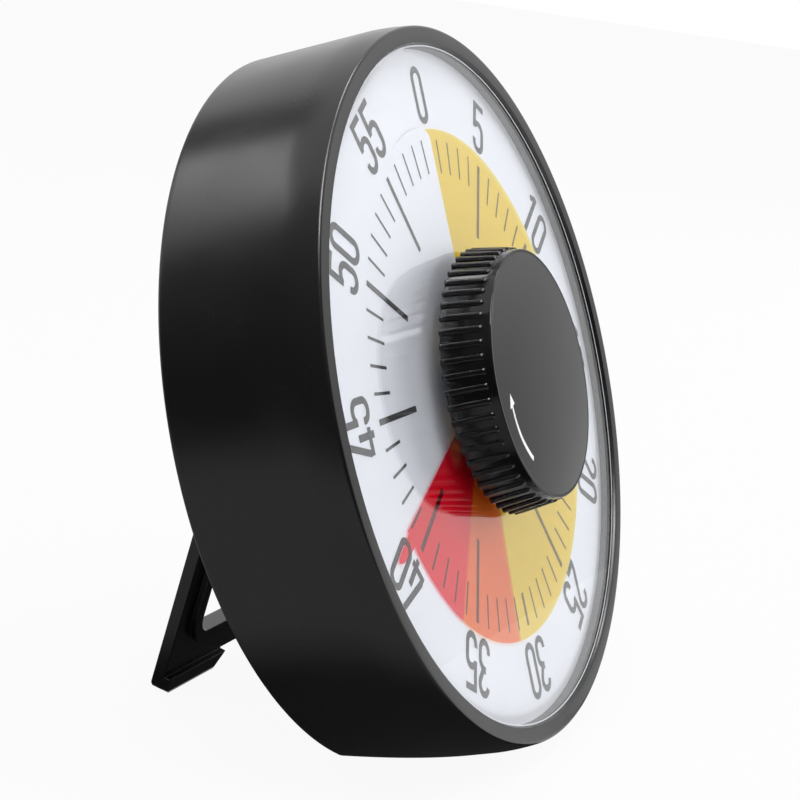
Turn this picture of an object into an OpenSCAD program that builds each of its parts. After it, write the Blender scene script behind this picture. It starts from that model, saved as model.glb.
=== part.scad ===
// Visual countdown timer: a drum on a folding stand, with a translucent colour
// disc that threads through a slit in the dial as the knob is turned.
//
// Every piece is drawn in the drum's own frame, where x is right, y is up
// (towards the 0 mark) and z comes out of the dial towards the viewer, with the
// bezel's front face at z = 0. on_stand() then leans the whole drum back.

/* [Case] */
// Outer radius at the bezel's front edge
bezel_r = 87.5; // [86.5:0.5:90]
// How much wider the drum is behind the bezel than at its front edge
drum_swell = 0.9; // [0.3:0.1:1.5]
// Depth behind the bezel at which the drum reaches its full radius
swell_depth = 9.5; // [6:0.5:14]
// Depth of the drum from bezel to back
case_depth = 39.3; // [39:0.1:42]
// Thickness of the drum's side wall
case_wall = 2.5; // [2:0.1:2.8]
// Rounding of the drum's front and back edges
edge_round = 0.8; // [0.4:0.1:1.2]
// Width of the flat front ring
bezel_width = 3.8; // [3:0.1:4.4]
// Radius of the window where the lip meets the lens
window_r = 81.5; // [80:0.5:82.5]
// Depth of the lens face below the bezel
lip_depth = 1.0; // [0.8:0.1:1.4]

/* [Stance] */
// Angle at which the drum leans back on its stand
tilt = 21; // [18:0.5:23]
// Depth behind the bezel at which the flat under the drum starts
flat_start = 10.5; // [8:0.5:13]

/* [Lens and dial] */
// Thickness of the clear lens
lens_t = 1.2; // [1:0.1:1.4]
// Radius of the hole in the lens for the knob's boss
lens_hole_r = 6.2; // [5.8:0.1:7]
// Height of the ring that spaces the dial from the lens
spacer_h = 2.8; // [2.7:0.1:3.4]
// Radial width of the spacer ring
spacer_w = 2.1; // [1.5:0.1:2.4]
// Thickness of the dial plate
dial_t = 0.5; // [0.4:0.05:0.6]
// Width of the slope between the dial's ramp and its flat number ring
slope_w = 2.0; // [1.5:0.1:2.5]
// Half angle of the slit in the dial
slit_half = 0.4; // [0.3:0.1:0.8]
// Angle of the notch at the slit's outer end, which lets the pointer stay in front
notch_angle = 4.2; // [4.2:0.1:6]
// Radial length of the notch's slanting edge
notch_run = 2.7; // [2:0.1:4]

/* [Colour disc] */
// Outer radius of the colour disc
disc_r = 63; // [60:0.5:64]
// Thickness of the colour film
film_t = 0.25; // [0.2:0.05:0.3]
// Gap between the film and the dial plate, on either side of it
film_gap = 0.3; // [0.28:0.02:0.34]
// Minutes that the disc shows at rest
minutes_set = 41.15; // [39:0.05:43]
// How far the pointer tab reaches past the disc
pointer_reach = 9; // [6:0.5:10]
// Outer radius of the disc's hub
hub_r = 13.4; // [12.5:0.1:14]
// Height of the disc's hub
hub_h = 1.9; // [1.9:0.1:2.1]

/* [Knob] */
// Radius over the knob's ribs
knob_r = 32.8; // [30:0.2:36]
// How far the ribs stand out
rib_h = 1.1; // [0.8:0.1:1.4]
// Number of ribs
rib_count = 56; // [48:1:64]
// Height of the knob's skirt above the bezel plane
knob_bottom = 1.05; // [0.6:0.05:1.6]
// Height of the knob's face above the bezel plane
knob_face = 13.2; // [12.8:0.1:16]
// Height of the plain collar between the ribs and the face
collar_h = 2.8; // [2:0.1:3.6]
// Width that the knob loses from the root of its ribs to its face
collar_slope = 1.5; // [1:0.1:2]
// Thickness of the knob's cap
cap_t = 1.0; // [0.8:0.1:1.2]

/* [Shaft and bushing] */
// Radius of the centre shaft
shaft_r = 2.5; // [2.2:0.1:2.6]
// Depth of each flat cut on the shaft where knob and hub grip it
shaft_flat = 0.5; // [0.3:0.05:0.7]
// Radial clearance of turning shafts in their bores
run_fit = 0.05; // [0.03:0.01:0.08]
// Outer radius of the threaded bushing
bushing_r = 4; // [3.8:0.1:4.4]
// Width across flats of the bushing's nut
nut_flats = 10; // [9.6:0.2:11]
// Thickness of the bushing's nut
nut_t = 1.5; // [1.2:0.1:1.6]

/* [Carrier and back cover] */
// Radial play of the plates that drop into the case
seat_play = 0.3; // [0.25:0.05:0.4]
// Thickness of the carrier's floor
carrier_t = 1.8; // [1.6:0.1:2]
// Depth of the carrier's floor below the dial plate, for the film behind it
carrier_drop = 2.0; // [1.8:0.1:2.2]
// Radius of the carrier's posts
post_r = 3.5; // [3:0.1:4]
// Sideways distance of the posts from the centre
post_x = 58; // [55:1:60]
// Height of the posts above and below the centre
post_y = 38; // [36:1:40]
// Thickness of the back cover
cover_t = 2.5; // [2.3:0.1:2.8]

/* [Stand] */
// Half width of the stand
stand_half = 36.4; // [34:0.2:38]
// Height of the stand's hinge above the drum's centre
hinge_y = 28.5; // [27:0.5:29.5]
// Angle by which the stand swings out from the back
open_angle = 30.9; // [29:0.1:31]
// Thickness of the stand's bars
bar_t = 3.2; // [2.9:0.1:3.3]
// How far the flange and foot rim stand up from the bars
flange_h = 1.7; // [1.4:0.1:1.8]
// Width of the bars at the sides, outside the flange
bar_w = 6.1; // [5:0.1:7]
// Width of the flange around the window
flange_w = 3.3; // [2.5:0.1:4]
// Distance of the window's lower edge from the foot
foot_h = 13.9; // [12:0.1:16]
// Distance of the window's upper edge from the hinge
head_h = 16; // [13:0.5:20]
// Height of the arch between the two feet
arch_h = 4; // [3:0.5:5]
// Half width of the arch at the foot
arch_half = 12; // [8:0.5:14]
// Radius of the hinge pin
pin_r = 1.25; // [1:0.05:1.3]
// Radius of the stand's hinge barrel
barrel_r = 2.5; // [2.3:0.1:2.5]

/* [Battery bay] */
// Radius of the battery
cell_r = 7.1; // [6.9:0.05:7.2]
// Length of the battery without its nub
cell_len = 49.2; // [48.6:0.1:49.4]
// Height of the battery above the drum's centre
cell_y = 50; // [49:0.5:52]
// Thickness of the battery door
door_t = 1.5; // [1.3:0.1:1.6]
// Thickness of the bay's walls
bay_wall = 1.5; // [1.2:0.1:1.6]
// Wire radius of the battery spring
spring_wire = 0.35; // [0.3:0.05:0.4]
// Side of the square plates that touch the battery's ends
plate_side = 13; // [11:0.5:14]

/* [Movement] */
// Half width of the square movement
move_half = 30; // [30:0.2:31]
// Wall thickness of the movement's housing
move_wall = 1.2; // [1:0.1:1.3]
// Inside height of the movement
move_h = 14; // [14:0.2:15]
// Gear module
gear_m = 0.4; // [0.4:0.01:0.41]
// Teeth of each pinion
pinion_n = 8; // [8:1:8]
// Teeth of the centre wheel
centre_n = 80; // [80:1:80]
// Teeth of the third wheel
third_n = 48; // [48:1:48]
// Teeth of the intermediate wheel
inter_n = 48; // [48:1:48]
// Thickness of the wheels
wheel_t = 1.0; // [0.8:0.1:1.1]
// Radius of the arbors
arbor_r = 0.8; // [0.7:0.05:0.9]
// Radius of the arbors' pivots
pivot_r = 0.5; // [0.45:0.05:0.6]
// Outer radius of the coil winding
coil_r = 3.4; // [3:0.1:3.5]
// Length of the coil winding
coil_len = 18; // [14:1:19]
// Length of the circuit board
board_len = 33; // [33:0.5:34]
// Distance of the board's lower end below the shaft
board_drop = 21; // [20.5:0.5:21.5]
// Side of the square driver chip
chip_side = 6; // [4:0.5:7]

/* [Alarm] */
// Radius of the buzzer
buzzer_r = 11; // [10:0.5:12]
// Height of the buzzer
buzzer_h = 7; // [6:0.5:9]
// Travel of the alarm switch
switch_travel = 4; // [3:0.5:5]

/* [Hidden] */
$fn = 96;
eps = 0.01;
// Drum
drum_r = bezel_r + drum_swell;
cavity_r = bezel_r - case_wall;
plate_r = cavity_r - seat_play;
back_z = -case_depth;
cover_in = back_z + cover_t;
// The flat under the drum is the table plane, so the drum's height follows from it
lift = flat_start * sin(tilt) + drum_r * cos(tilt);
reach_front = (bezel_r - edge_round) * sin(tilt) - edge_round * cos(tilt) + edge_round;
reach_back = (drum_r - edge_round) * sin(tilt) + (case_depth - edge_round) * cos(tilt) + edge_round;
shift = (reach_front - reach_back) / 2;
// Stack under the bezel, each face from the one above it
lens_top = -lip_depth;
lens_low = lens_top - lens_t;
dial_top = lens_low - spacer_h;
carrier_rim = dial_top - dial_t;
carrier_top = carrier_rim - carrier_drop;
carrier_low = carrier_top - carrier_t;
// Screw motion of the disc
pitch = 2 * film_gap + film_t + dial_t;
angle_set = minutes_set * 6;
rise_set = pitch * angle_set / 360;
ramp_r = disc_r + 0.6;
ring_r = ramp_r + slope_w;
dial_hole = hub_r + 1.2;
hub_top = dial_top + film_gap + rise_set + film_t + 0.12;
hub_low = hub_top - hub_h;
key_low = hub_low - rise_set - 0.2;
// Knob
knob_root = knob_r - rib_h;
face_r = knob_root - collar_slope;
cap_r = face_r - 0.7;
rib_top = knob_face - collar_h;
shaft_top = 8;
screw_seat = shaft_top + 1.6;
boss_r = lens_hole_r - 1.2;
// Shaft and movement
move_top = carrier_low;
move_in = move_top - move_wall;
move_floor = move_in - move_h;
move_low = move_floor - move_wall;
bushing_top = carrier_top + nut_t + 0.1;
centre_z = move_in - 2.7;
third_z = centre_z - 3.6;
inter_z = third_z - 3.1;
stator_z = move_in - 5.1;
pinion_reach = 0.35;
third_pos = [-(centre_n + pinion_n) / 2 * gear_m * cos(35), -(centre_n + pinion_n) / 2 * gear_m * sin(35)];
inter_dist = (third_n + pinion_n) / 2 * gear_m;
inter_pos = third_pos + inter_dist * [cos(110), sin(110)];
rotor_dist = (inter_n + pinion_n) / 2 * gear_m;
rotor_pos = inter_pos + rotor_dist * [cos(70), sin(70)];
coil_y = 21;
corner = move_half - 5;
// Stand
stand_front = barrel_r - 0.3;
bar_front = stand_front - flange_h;
bar_back = bar_t - bar_front;
hinge_z = back_z + bar_back;
// The stand is as long as it takes for its foot to meet the table
hinge_high = hinge_z * sin(tilt) + hinge_y * cos(tilt) + lift;
lean = open_angle - tilt;
stand_len = (hinge_high - stand_front * sin(lean)) / cos(lean);
recess_z = hinge_z + barrel_r + 0.3;
stop_reach = (recess_z - hinge_z - 0.1 - bar_front * cos(open_angle)) / sin(open_angle);
recess_gap = 0.7;
recess_wall = 1.8;
recess_top = hinge_y + norm([stop_reach, bar_back]) + 0.5;
recess_low = hinge_y - stand_len - recess_gap;
pin_half = stand_half + recess_gap + recess_wall;
window_half = stand_half - bar_w - flange_w;
// Battery bay
bay_half_x = cell_len / 2 + 3.8;
bay_half_y = cell_r + 0.6;
door_half_x = bay_half_x + 1.2;
door_half_y = bay_half_y + 1.6;
door_in = back_z + door_t;
cell_z = door_in + cell_r + 0.5;
bay_floor = cell_z + cell_r + 0.3;
cell_x = 1.3;
// Small parts on the cover
side_x = 60;

// ---------- helpers ----------

// Leans the drum back so that its flat lies on the table
module on_stand() {
    translate([0, shift, lift]) rotate([90 - tilt, 0, 0]) children();
}

// Everything lower than height h above the table, in the drum's own frame
module below_table(h) {
    rotate([tilt - 90, 0, 0]) translate([0, -shift, -lift])
        translate([-150, -150, h - 100]) cube([300, 300, 100]);
}

// A disc or ring between two heights
module ring(r_out, r_in, z_low, z_high) {
    translate([0, 0, z_low]) difference() {
        cylinder(r = r_out, h = z_high - z_low);
        if (r_in > 0) translate([0, 0, -1]) cylinder(r = r_in, h = z_high - z_low + 2);
    }
}

// A rod between two heights
module rod(r, z_low, z_high) {
    translate([0, 0, z_low]) cylinder(r = r, h = z_high - z_low);
}

// Direction on the dial, clockwise from the 0 mark
function on_dial(angle, r) = [r * sin(angle), r * cos(angle)];

// Places its children at the four carrier posts
module at_posts() {
    for (sx = [-1, 1], sy = [-1, 1]) translate([sx * post_x, sy * post_y, 0]) children();
}

// Gear outline: six points a tooth, thinned a little for backlash
function tooth(n, k, m) = let(
        r = n * m / 2, step = 360 / n, a = k * step,
        root = r - 1.25 * m, tip = r + (n < 20 ? 0.85 : 0.75) * m,
        half = step / 4 * (n < 20 ? 0.80 : 0.86))
    [for (p = [[root, -half * 1.75], [r - 0.35 * m, -half * 1.22], [tip, -half * 0.42],
               [tip, half * 0.42], [r - 0.35 * m, half * 1.22], [root, half * 1.75]])
        [p[0] * cos(a + p[1]), p[0] * sin(a + p[1])]];
module gear2d(n, m) {
    polygon([for (k = [0:n - 1]) each tooth(n, k, m)]);
}

// Triangles that close a loop of points, taken in pairs from its two ends
function cap_faces(first, sides) = [for (j = [0:sides / 2 - 2]) let(
        a = first + j, b = first + sides - 1 - j)
    each [[a, b - 1, a + 1], [a, b, b - 1]]];

// Faces of a closed solid made from a row of rings, each a loop of points
function loft_faces(rings, sides) = concat(
    [for (f = cap_faces(0, sides)) [f[2], f[1], f[0]]],
    [for (i = [0:rings - 2], j = [0:sides - 1]) let(
        a = i * sides + j, b = i * sides + (j + 1) % sides)
        each [[a, b + sides, b], [a, a + sides, b + sides]]],
    cap_faces((rings - 1) * sides, sides));

// ---------- case ----------

function arc(cx, cy, r, a0, a1, n) = [for (i = [0:n]) let(a = a0 + (a1 - a0) * i / n)
    [cx + r * cos(a), cy + r * sin(a)]];

module drum_solid() {
    rotate_extrude($fn = 180) polygon(concat([[0, 0]],
        arc(bezel_r - edge_round, -edge_round, edge_round, 90, 0, 5),
        [[drum_r, -swell_depth]],
        arc(drum_r - edge_round, back_z + edge_round, edge_round, 0, -90, 5),
        [[0, back_z]]));
}

snap_z = cover_in + 5;
module front_case() {
    color("#141416") difference() {
        drum_solid();
        difference() {
            union() {
                rod(cavity_r, back_z - 1, lens_top);
                ring(cavity_r + 0.6, 0, snap_z, snap_z + 1.6);
            }
            below_table(case_wall);
        }
        translate([0, 0, -lip_depth - eps]) cylinder(r = window_r, h = lip_depth + 1);
        translate([0, 0, -lip_depth + 0.2])
            cylinder(r1 = window_r, r2 = bezel_r - bezel_width, h = lip_depth - 0.2 + eps);
        below_table(0);
    }
}

module lens() {
    color("#e8eef2", 0.35) ring(plate_r, lens_hole_r, lens_low, lens_top);
}

module spacer_ring() {
    color("#1b1b1d") ring(plate_r, plate_r - spacer_w, dial_top, lens_low);
}

// ---------- dial plate: a ramp that climbs one pitch a turn, with a slit at 0 ----------

// Share of the ramp's rise that is left at radius r
function ramp_share(r) = r <= ramp_r ? 1 : r >= ring_r ? 0 :
    let(t = (r - ramp_r) / slope_w) 1 - t * t * (3 - 2 * t);
// Radii at which the dial plate is drawn, and the angle it ends at on each
notch_bend = ramp_r - notch_run * 0.3;
dial_ends = [[dial_hole, 0], [ramp_r - notch_run, 0], [notch_bend, notch_angle * 0.4],
    [ramp_r - 0.2, notch_angle - slit_half], [ramp_r, notch_angle - slit_half],
    for (t = [0.25:0.25:1]) [ramp_r + slope_w * t, notch_angle - slit_half]];
dial_steps = 120;

module dial_plate() {
    count = len(dial_ends);
    points = [for (i = [0:dial_steps], top = [0, 1], j = [0:count - 1]) let(
            end = dial_ends[top == 0 ? j : count - 1 - j],
            r = end[0],
            a = slit_half + (360 - 2 * slit_half - end[1]) * i / dial_steps,
            h = dial_top + pitch * a / 360 * ramp_share(r))
        concat(on_dial(a, r), [top == 0 ? h - dial_t : h])];
    color("#f4f5f7") union() {
        polyhedron(points, loft_faces(dial_steps + 1, 2 * count));
        ring(plate_r, ring_r - 0.15, carrier_rim, dial_top);
    }
}

// ---------- colour disc: one turn of the same ramp, so that it threads the slit ----------

film_steps = 120;
tab_end = 3.9;
// Pointer tab: degrees behind the leading edge, and share of the tab's reach
tab_edge = [[0, 0], [0.62, 0], [0.7, 0.12], [1.15, 0.9], [1.3, 0.97], [1.55, 1], [1.9, 1], [2.3, 0.95],
    [2.7, 0.84], [3.1, 0.68], [3.4, 0.5], [3.55, 0.32], [3.62, 0.18], [3.7, 0.06], [tab_end, 0]];
film_edge = concat(
    [for (e = tab_edge) [e[0], disc_r + pointer_reach * e[1]]],
    [for (i = [1:film_steps]) [tab_end + (360 - tab_end) * i / film_steps, disc_r]]);

module colour_disc() {
    points = [for (e = film_edge) let(
            a = angle_set - e[0],
            h = dial_top + film_gap + pitch * a / 360,
            near = on_dial(a, hub_r + 0.08),
            far = on_dial(a, e[1]))
        each [concat(near, [h]), concat(near, [h + film_t]),
            concat(far, [h + film_t]), concat(far, [h])]];
    color("#f2c230", 0.8) polyhedron(points, loft_faces(len(film_edge), 4));
}

// Shaft section with two flats
module keyed(r, flat, z_low, z_high) {
    translate([0, 0, z_low]) linear_extrude(z_high - z_low) intersection() {
        circle(r = r);
        square([3 * r, 2 * (r - flat)], center = true);
    }
}

module disc_hub() {
    color("#d9dadc") difference() {
        rod(hub_r, hub_low, hub_top);
        rod(hub_r - 2, hub_low - 1, hub_top - 1.1);
        keyed(shaft_r + run_fit, shaft_flat, hub_low - 1, hub_top + 1);
    }
}

// ---------- knob ----------

module knob_outline() {
    step = 360 / rib_count;
    polygon([for (k = [0:rib_count - 1]) each [for (p = [[knob_root - 0.02, -0.36],
            [knob_root + rib_h * 0.75, -0.24], [knob_r, -0.1], [knob_r, 0.1],
            [knob_root + rib_h * 0.75, 0.24], [knob_root - 0.02, 0.36]])
        on_dial((k + p[1]) * step, p[0])]]);
}

module knob() {
    inner_r = knob_root - 2;
    color("#0e0e10") difference() {
        union() {
            rotate_extrude($fn = 144) polygon(concat(
                [[0, knob_bottom], [knob_root, knob_bottom], [knob_root, rib_top + 0.3]],
                arc(face_r - 0.4, knob_face - 1.2, 1.2, 25, 90, 5),
                [[0, knob_face]]));
            translate([0, 0, knob_bottom]) linear_extrude(rib_top - knob_bottom - 0.6) knob_outline();
            rod(boss_r, lens_top - 0.5, knob_bottom + 2);
        }
        difference() {
            rod(inner_r, knob_bottom - 1, knob_face - cap_t - 2);
            rod(boss_r, knob_bottom - 2, knob_face);
            for (a = [0:60:300]) rotate(a) translate([0, -0.8, knob_bottom])
                cube([inner_r + 1, 1.6, knob_face]);
        }
        rod(cap_r + 0.15, knob_face - cap_t, knob_face + 1);
        keyed(shaft_r + run_fit, shaft_flat, lens_top - 1.5, shaft_top);
        rod(1.25, shaft_top - 1, knob_face);
        rod(2.9, screw_seat, knob_face);
    }
}

module knob_cap() {
    color("#4b4b4f") rod(cap_r, knob_face - cap_t, knob_face);
}

module knob_screw() {
    color("#b9bcc0") difference() {
        union() {
            rod(2.6, screw_seat, screw_seat + 1.4);
            rod(1.0, shaft_top - 5, screw_seat + 0.1);
        }
        slot_cross(screw_seat + 0.7, screw_seat + 2);
    }
}

// Cross recess of a screw head
module slot_cross(z_low, z_high) {
    for (a = [0, 90]) rotate(a) translate([-1.4, -0.3, z_low]) cube([2.8, 0.6, z_high - z_low]);
}

// ---------- shaft, bushing and clutch ----------

module centre_shaft() {
    color("#c4c7cb") difference() {
        union() {
            keyed(shaft_r, shaft_flat, key_low, shaft_top);
            rod(shaft_r, move_floor + 0.1, key_low);
            rod(1.2, move_low + 0.2, move_floor + 0.2);
            rod(4.5, centre_z + wheel_t / 2 + run_fit, centre_z + wheel_t / 2 + run_fit + 0.8);
        }
        rod(1.05, shaft_top - 5.5, shaft_top + 1);
    }
}

module shaft_bushing() {
    color("#c9a24a") difference() {
        union() {
            rod(bushing_r, move_in - 0.05, bushing_top);
            rod(bushing_r + 1.6, move_in - 0.8, move_in);
        }
        rod(shaft_r + run_fit, move_in - 2, bushing_top + 1);
    }
}

module bushing_nut() {
    color("#c9a24a") translate([0, 0, carrier_top]) difference() {
        cylinder(r = nut_flats / 2 / cos(30), h = nut_t, $fn = 6);
        translate([0, 0, -1]) cylinder(r = bushing_r + run_fit, h = nut_t + 2);
    }
}

clip_z = centre_z - wheel_t / 2 - run_fit - 2.4;
module clutch_spring() {
    spring_top = centre_z - wheel_t / 2 - run_fit;
    color("#d8b24e") rotate_extrude() polygon([[shaft_r + 0.1, clip_z + 0.85],
        [shaft_r + 0.9, clip_z + 0.85], [6.2, spring_top - 0.3], [7, spring_top - 0.3],
        [7, spring_top], [6.1, spring_top], [shaft_r + 0.8, clip_z + 1.15], [shaft_r + 0.1, clip_z + 1.15]]);
}

module retaining_clip() {
    color("#a9adb2") ring(4.4, shaft_r + run_fit, clip_z, clip_z + 0.8);
}

// ---------- gear train ----------

// Wheel with a pinion on one arbor, turned so that its teeth mesh
module geared_arbor(n, wheel_z, pinion_z, wheel_turn, pinion_turn) {
    rod(arbor_r, move_floor + 0.1, move_in - 0.1);
    rod(pivot_r, move_floor - move_wall * 0.75, move_in + move_wall * 0.75);
    rod(arbor_r + 0.5, wheel_z - 0.9, wheel_z + 0.9);
    translate([0, 0, wheel_z - wheel_t / 2]) linear_extrude(wheel_t)
        rotate(wheel_turn) gear2d(n, gear_m);
    translate([0, 0, pinion_z - wheel_t / 2 - pinion_reach])
        linear_extrude(wheel_t + 2 * pinion_reach) rotate(pinion_turn) gear2d(pinion_n, gear_m);
}

// A tooth of the driver points at its mate, and a gap of the mate points back
dir_third = 180 + 35;
dir_inter = 110;
dir_rotor = 70;

module centre_wheel() {
    color("#e9e4d6") difference() {
        translate([0, 0, centre_z - wheel_t / 2]) linear_extrude(wheel_t)
            rotate(dir_third) gear2d(centre_n, gear_m);
        rod(shaft_r + run_fit, centre_z - 3, centre_z + 3);
        for (a = [30:60:330]) rotate(a) translate([10.5, 0, 0]) rod(2.6, centre_z - 3, centre_z + 3);
    }
}

module third_wheel() {
    color("#e9e4d6") translate(concat(third_pos, [0]))
        geared_arbor(third_n, third_z, centre_z, dir_inter, dir_third + 180 + 180 / pinion_n);
}

module intermediate_wheel() {
    color("#e9e4d6") translate(concat(inter_pos, [0]))
        geared_arbor(inter_n, inter_z, third_z, dir_rotor, dir_inter + 180 + 180 / pinion_n);
}

rotor_r = 3.0;
module rotor_pinion() {
    color("#e9e4d6") translate(concat(rotor_pos, [0])) {
        rod(arbor_r, move_floor + 0.1, move_in - 0.1);
        rod(pivot_r, move_floor - move_wall * 0.75, move_in + move_wall * 0.75);
        translate([0, 0, inter_z - wheel_t / 2 - pinion_reach]) linear_extrude(wheel_t + 2 * pinion_reach)
            rotate(dir_rotor + 180 + 180 / pinion_n) gear2d(pinion_n, gear_m);
    }
}

module rotor_magnet() {
    color("#55585e") translate(concat(rotor_pos, [0]))
        ring(rotor_r, arbor_r + 0.02, stator_z - 1, stator_z + 1);
}

stator_end = 20;
module stator() {
    color("#8f949b") translate([0, 0, stator_z - 0.5]) linear_extrude(1) difference() {
        union() {
            translate(rotor_pos) circle(r = rotor_r + 3);
            translate([rotor_pos[0] - 3, rotor_pos[1]]) square([6, coil_y + 2 - rotor_pos[1]]);
            translate([rotor_pos[0] - 3, coil_y - 1.2]) square([stator_end - rotor_pos[0] + 3, 2.4]);
            translate([rotor_pos[0], rotor_pos[1] - 4]) square([stator_end - rotor_pos[0], 4]);
            translate([stator_end - 4, rotor_pos[1] - 4]) square([4, coil_y + 1.2 - rotor_pos[1] + 4]);
        }
        translate(rotor_pos) circle(r = rotor_r + 0.5);
    }
}

// The coil sits on the long bar of the stator
coil_mid = (rotor_pos[0] + 3 + stator_end - 4) / 2;
module along_coil(x_low) {
    translate([coil_mid + x_low, coil_y, stator_z]) rotate([0, 90, 0]) children();
}

module coil_bobbin() {
    color("#f0efe9") difference() {
        union() {
            along_coil(-coil_len / 2 - 0.8) cylinder(r = 2.1, h = coil_len + 1.6);
            for (x = [-coil_len / 2 - 0.8, coil_len / 2]) along_coil(x) cylinder(r = coil_r + 0.3, h = 0.8);
        }
        translate([coil_mid - coil_len, coil_y - 1.25, stator_z - 0.55]) cube([2 * coil_len, 2.5, 1.1]);
    }
}

module coil_winding() {
    color("#b5652b") along_coil(-coil_len / 2 + 0.05) difference() {
        cylinder(r = coil_r, h = coil_len - 0.1);
        translate([0, 0, -1]) cylinder(r = 2.15, h = coil_len + 2);
    }
}

// ---------- movement housing ----------

module square_shell(z_low, z_high) {
    translate([-move_half, -move_half, z_low]) difference() {
        cube([2 * move_half, 2 * move_half, z_high - z_low]);
        translate([move_wall, move_wall, -1])
            cube([2 * (move_half - move_wall), 2 * (move_half - move_wall), z_high - z_low + 2]);
    }
}

module pivot_holes(z_low, z_high) {
    for (p = [third_pos, inter_pos, rotor_pos])
        translate(concat(p, [0])) rod(pivot_r + run_fit, z_low, z_high);
}

module at_corners() {
    for (sx = [-1, 1], sy = [-1, 1]) translate([sx * corner, sy * corner, 0]) children();
}

board_x = 17.8;
split_z = move_in - move_h * 0.55;
board_low = split_z + 0.2;
module movement_frame() {
    color("#3a3c40") difference() {
        union() {
            translate([-move_half, -move_half, move_in]) cube([2 * move_half, 2 * move_half, move_wall]);
            square_shell(split_z, move_in + 0.01);
            at_corners() rod(2.4, split_z, move_in + 0.01);
            for (x = [rotor_pos[0], stator_end - 2]) translate([x, coil_y, 0])
                rod(1.9, stator_z + 0.5, move_in + 0.01);
            for (y = [-18, 1]) translate([board_x + 1.2, y, board_low + 1])
                cube([move_half - move_wall - board_x - 1.1, 3, move_in - board_low - 0.99]);
        }
        rod(bushing_r + run_fit, move_in - 1, move_top + 1);
        pivot_holes(move_in - 1, move_top - move_wall * 0.15);
        at_corners() rod(0.85, split_z - 1, move_in - 0.5);
    }
}

module movement_cover() {
    color("#4a4c50") difference() {
        union() {
            translate([-move_half, -move_half, move_low]) cube([2 * move_half, 2 * move_half, move_wall]);
            square_shell(move_floor - 0.01, split_z);
            at_corners() rod(2.4, move_floor - 0.01, split_z);
        }
        rod(1.25, move_low + 0.15, move_floor + 1);
        pivot_holes(move_low + move_wall * 0.15, move_floor + 1);
        at_corners() {
            rod(1.0, move_low - 1, split_z + 1);
            rod(1.9, move_low - 1, move_low + 1);
        }
    }
}

module movement_screws() {
    color("#b9bcc0") at_corners() difference() {
        union() {
            rod(1.8, move_low - 0.1, move_low + 1);
            rod(0.8, move_low + 0.9, split_z + 4);
        }
        translate([-1.2, -0.25, move_low - 1]) cube([2.4, 0.5, 1.4]);
    }
}

module circuit_board() {
    color("#1f6b3a") translate([board_x, -board_drop, board_low])
        cube([move_half - move_wall - board_x - 0.3, board_len, 1]);
}

module driver_chip() {
    color("#17181a") translate([board_x + 2.2, 7 - board_drop, board_low - 1.4])
        cube([chip_side, chip_side, 1.4]);
}

module quartz_crystal() {
    color("#c9ccd0") translate([board_x + 5, -2, board_low - 1.15]) rotate([-90, 0, 0])
        cylinder(r = 1.1, h = 6);
}

// ---------- carrier ----------

module dial_carrier() {
    color("#2a2b2e") difference() {
        union() {
            ring(plate_r, 0, carrier_low, carrier_top);
            ring(plate_r, ring_r + 1, carrier_top - 0.01, carrier_rim);
            at_posts() rod(post_r, cover_in, carrier_low + 0.01);
        }
        rod(bushing_r + run_fit, carrier_low - 1, carrier_top + 1);
        at_posts() rod(1.2, cover_in - 1, cover_in + 9);
        for (a = [22.5:45:360]) rotate(a) translate([52, 0, 0]) rod(7.5, carrier_low - 1, carrier_top + 1);
    }
}

// ---------- back cover ----------

module recess2d(grow) {
    translate([-stand_half - recess_gap - grow, recess_low - min(grow, 1)])
        square([2 * (stand_half + recess_gap + grow), recess_top - recess_low + grow + min(grow, 1)]);
    translate([stand_half - 2, recess_low + 26]) circle(r = 11 + grow);
}

module bay2d(grow) {
    translate([-bay_half_x - grow, cell_y - bay_half_y - grow])
        square(2 * [bay_half_x + grow, bay_half_y + grow]);
}

snap_angles = [15, 90, 165, 215, 325];

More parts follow.
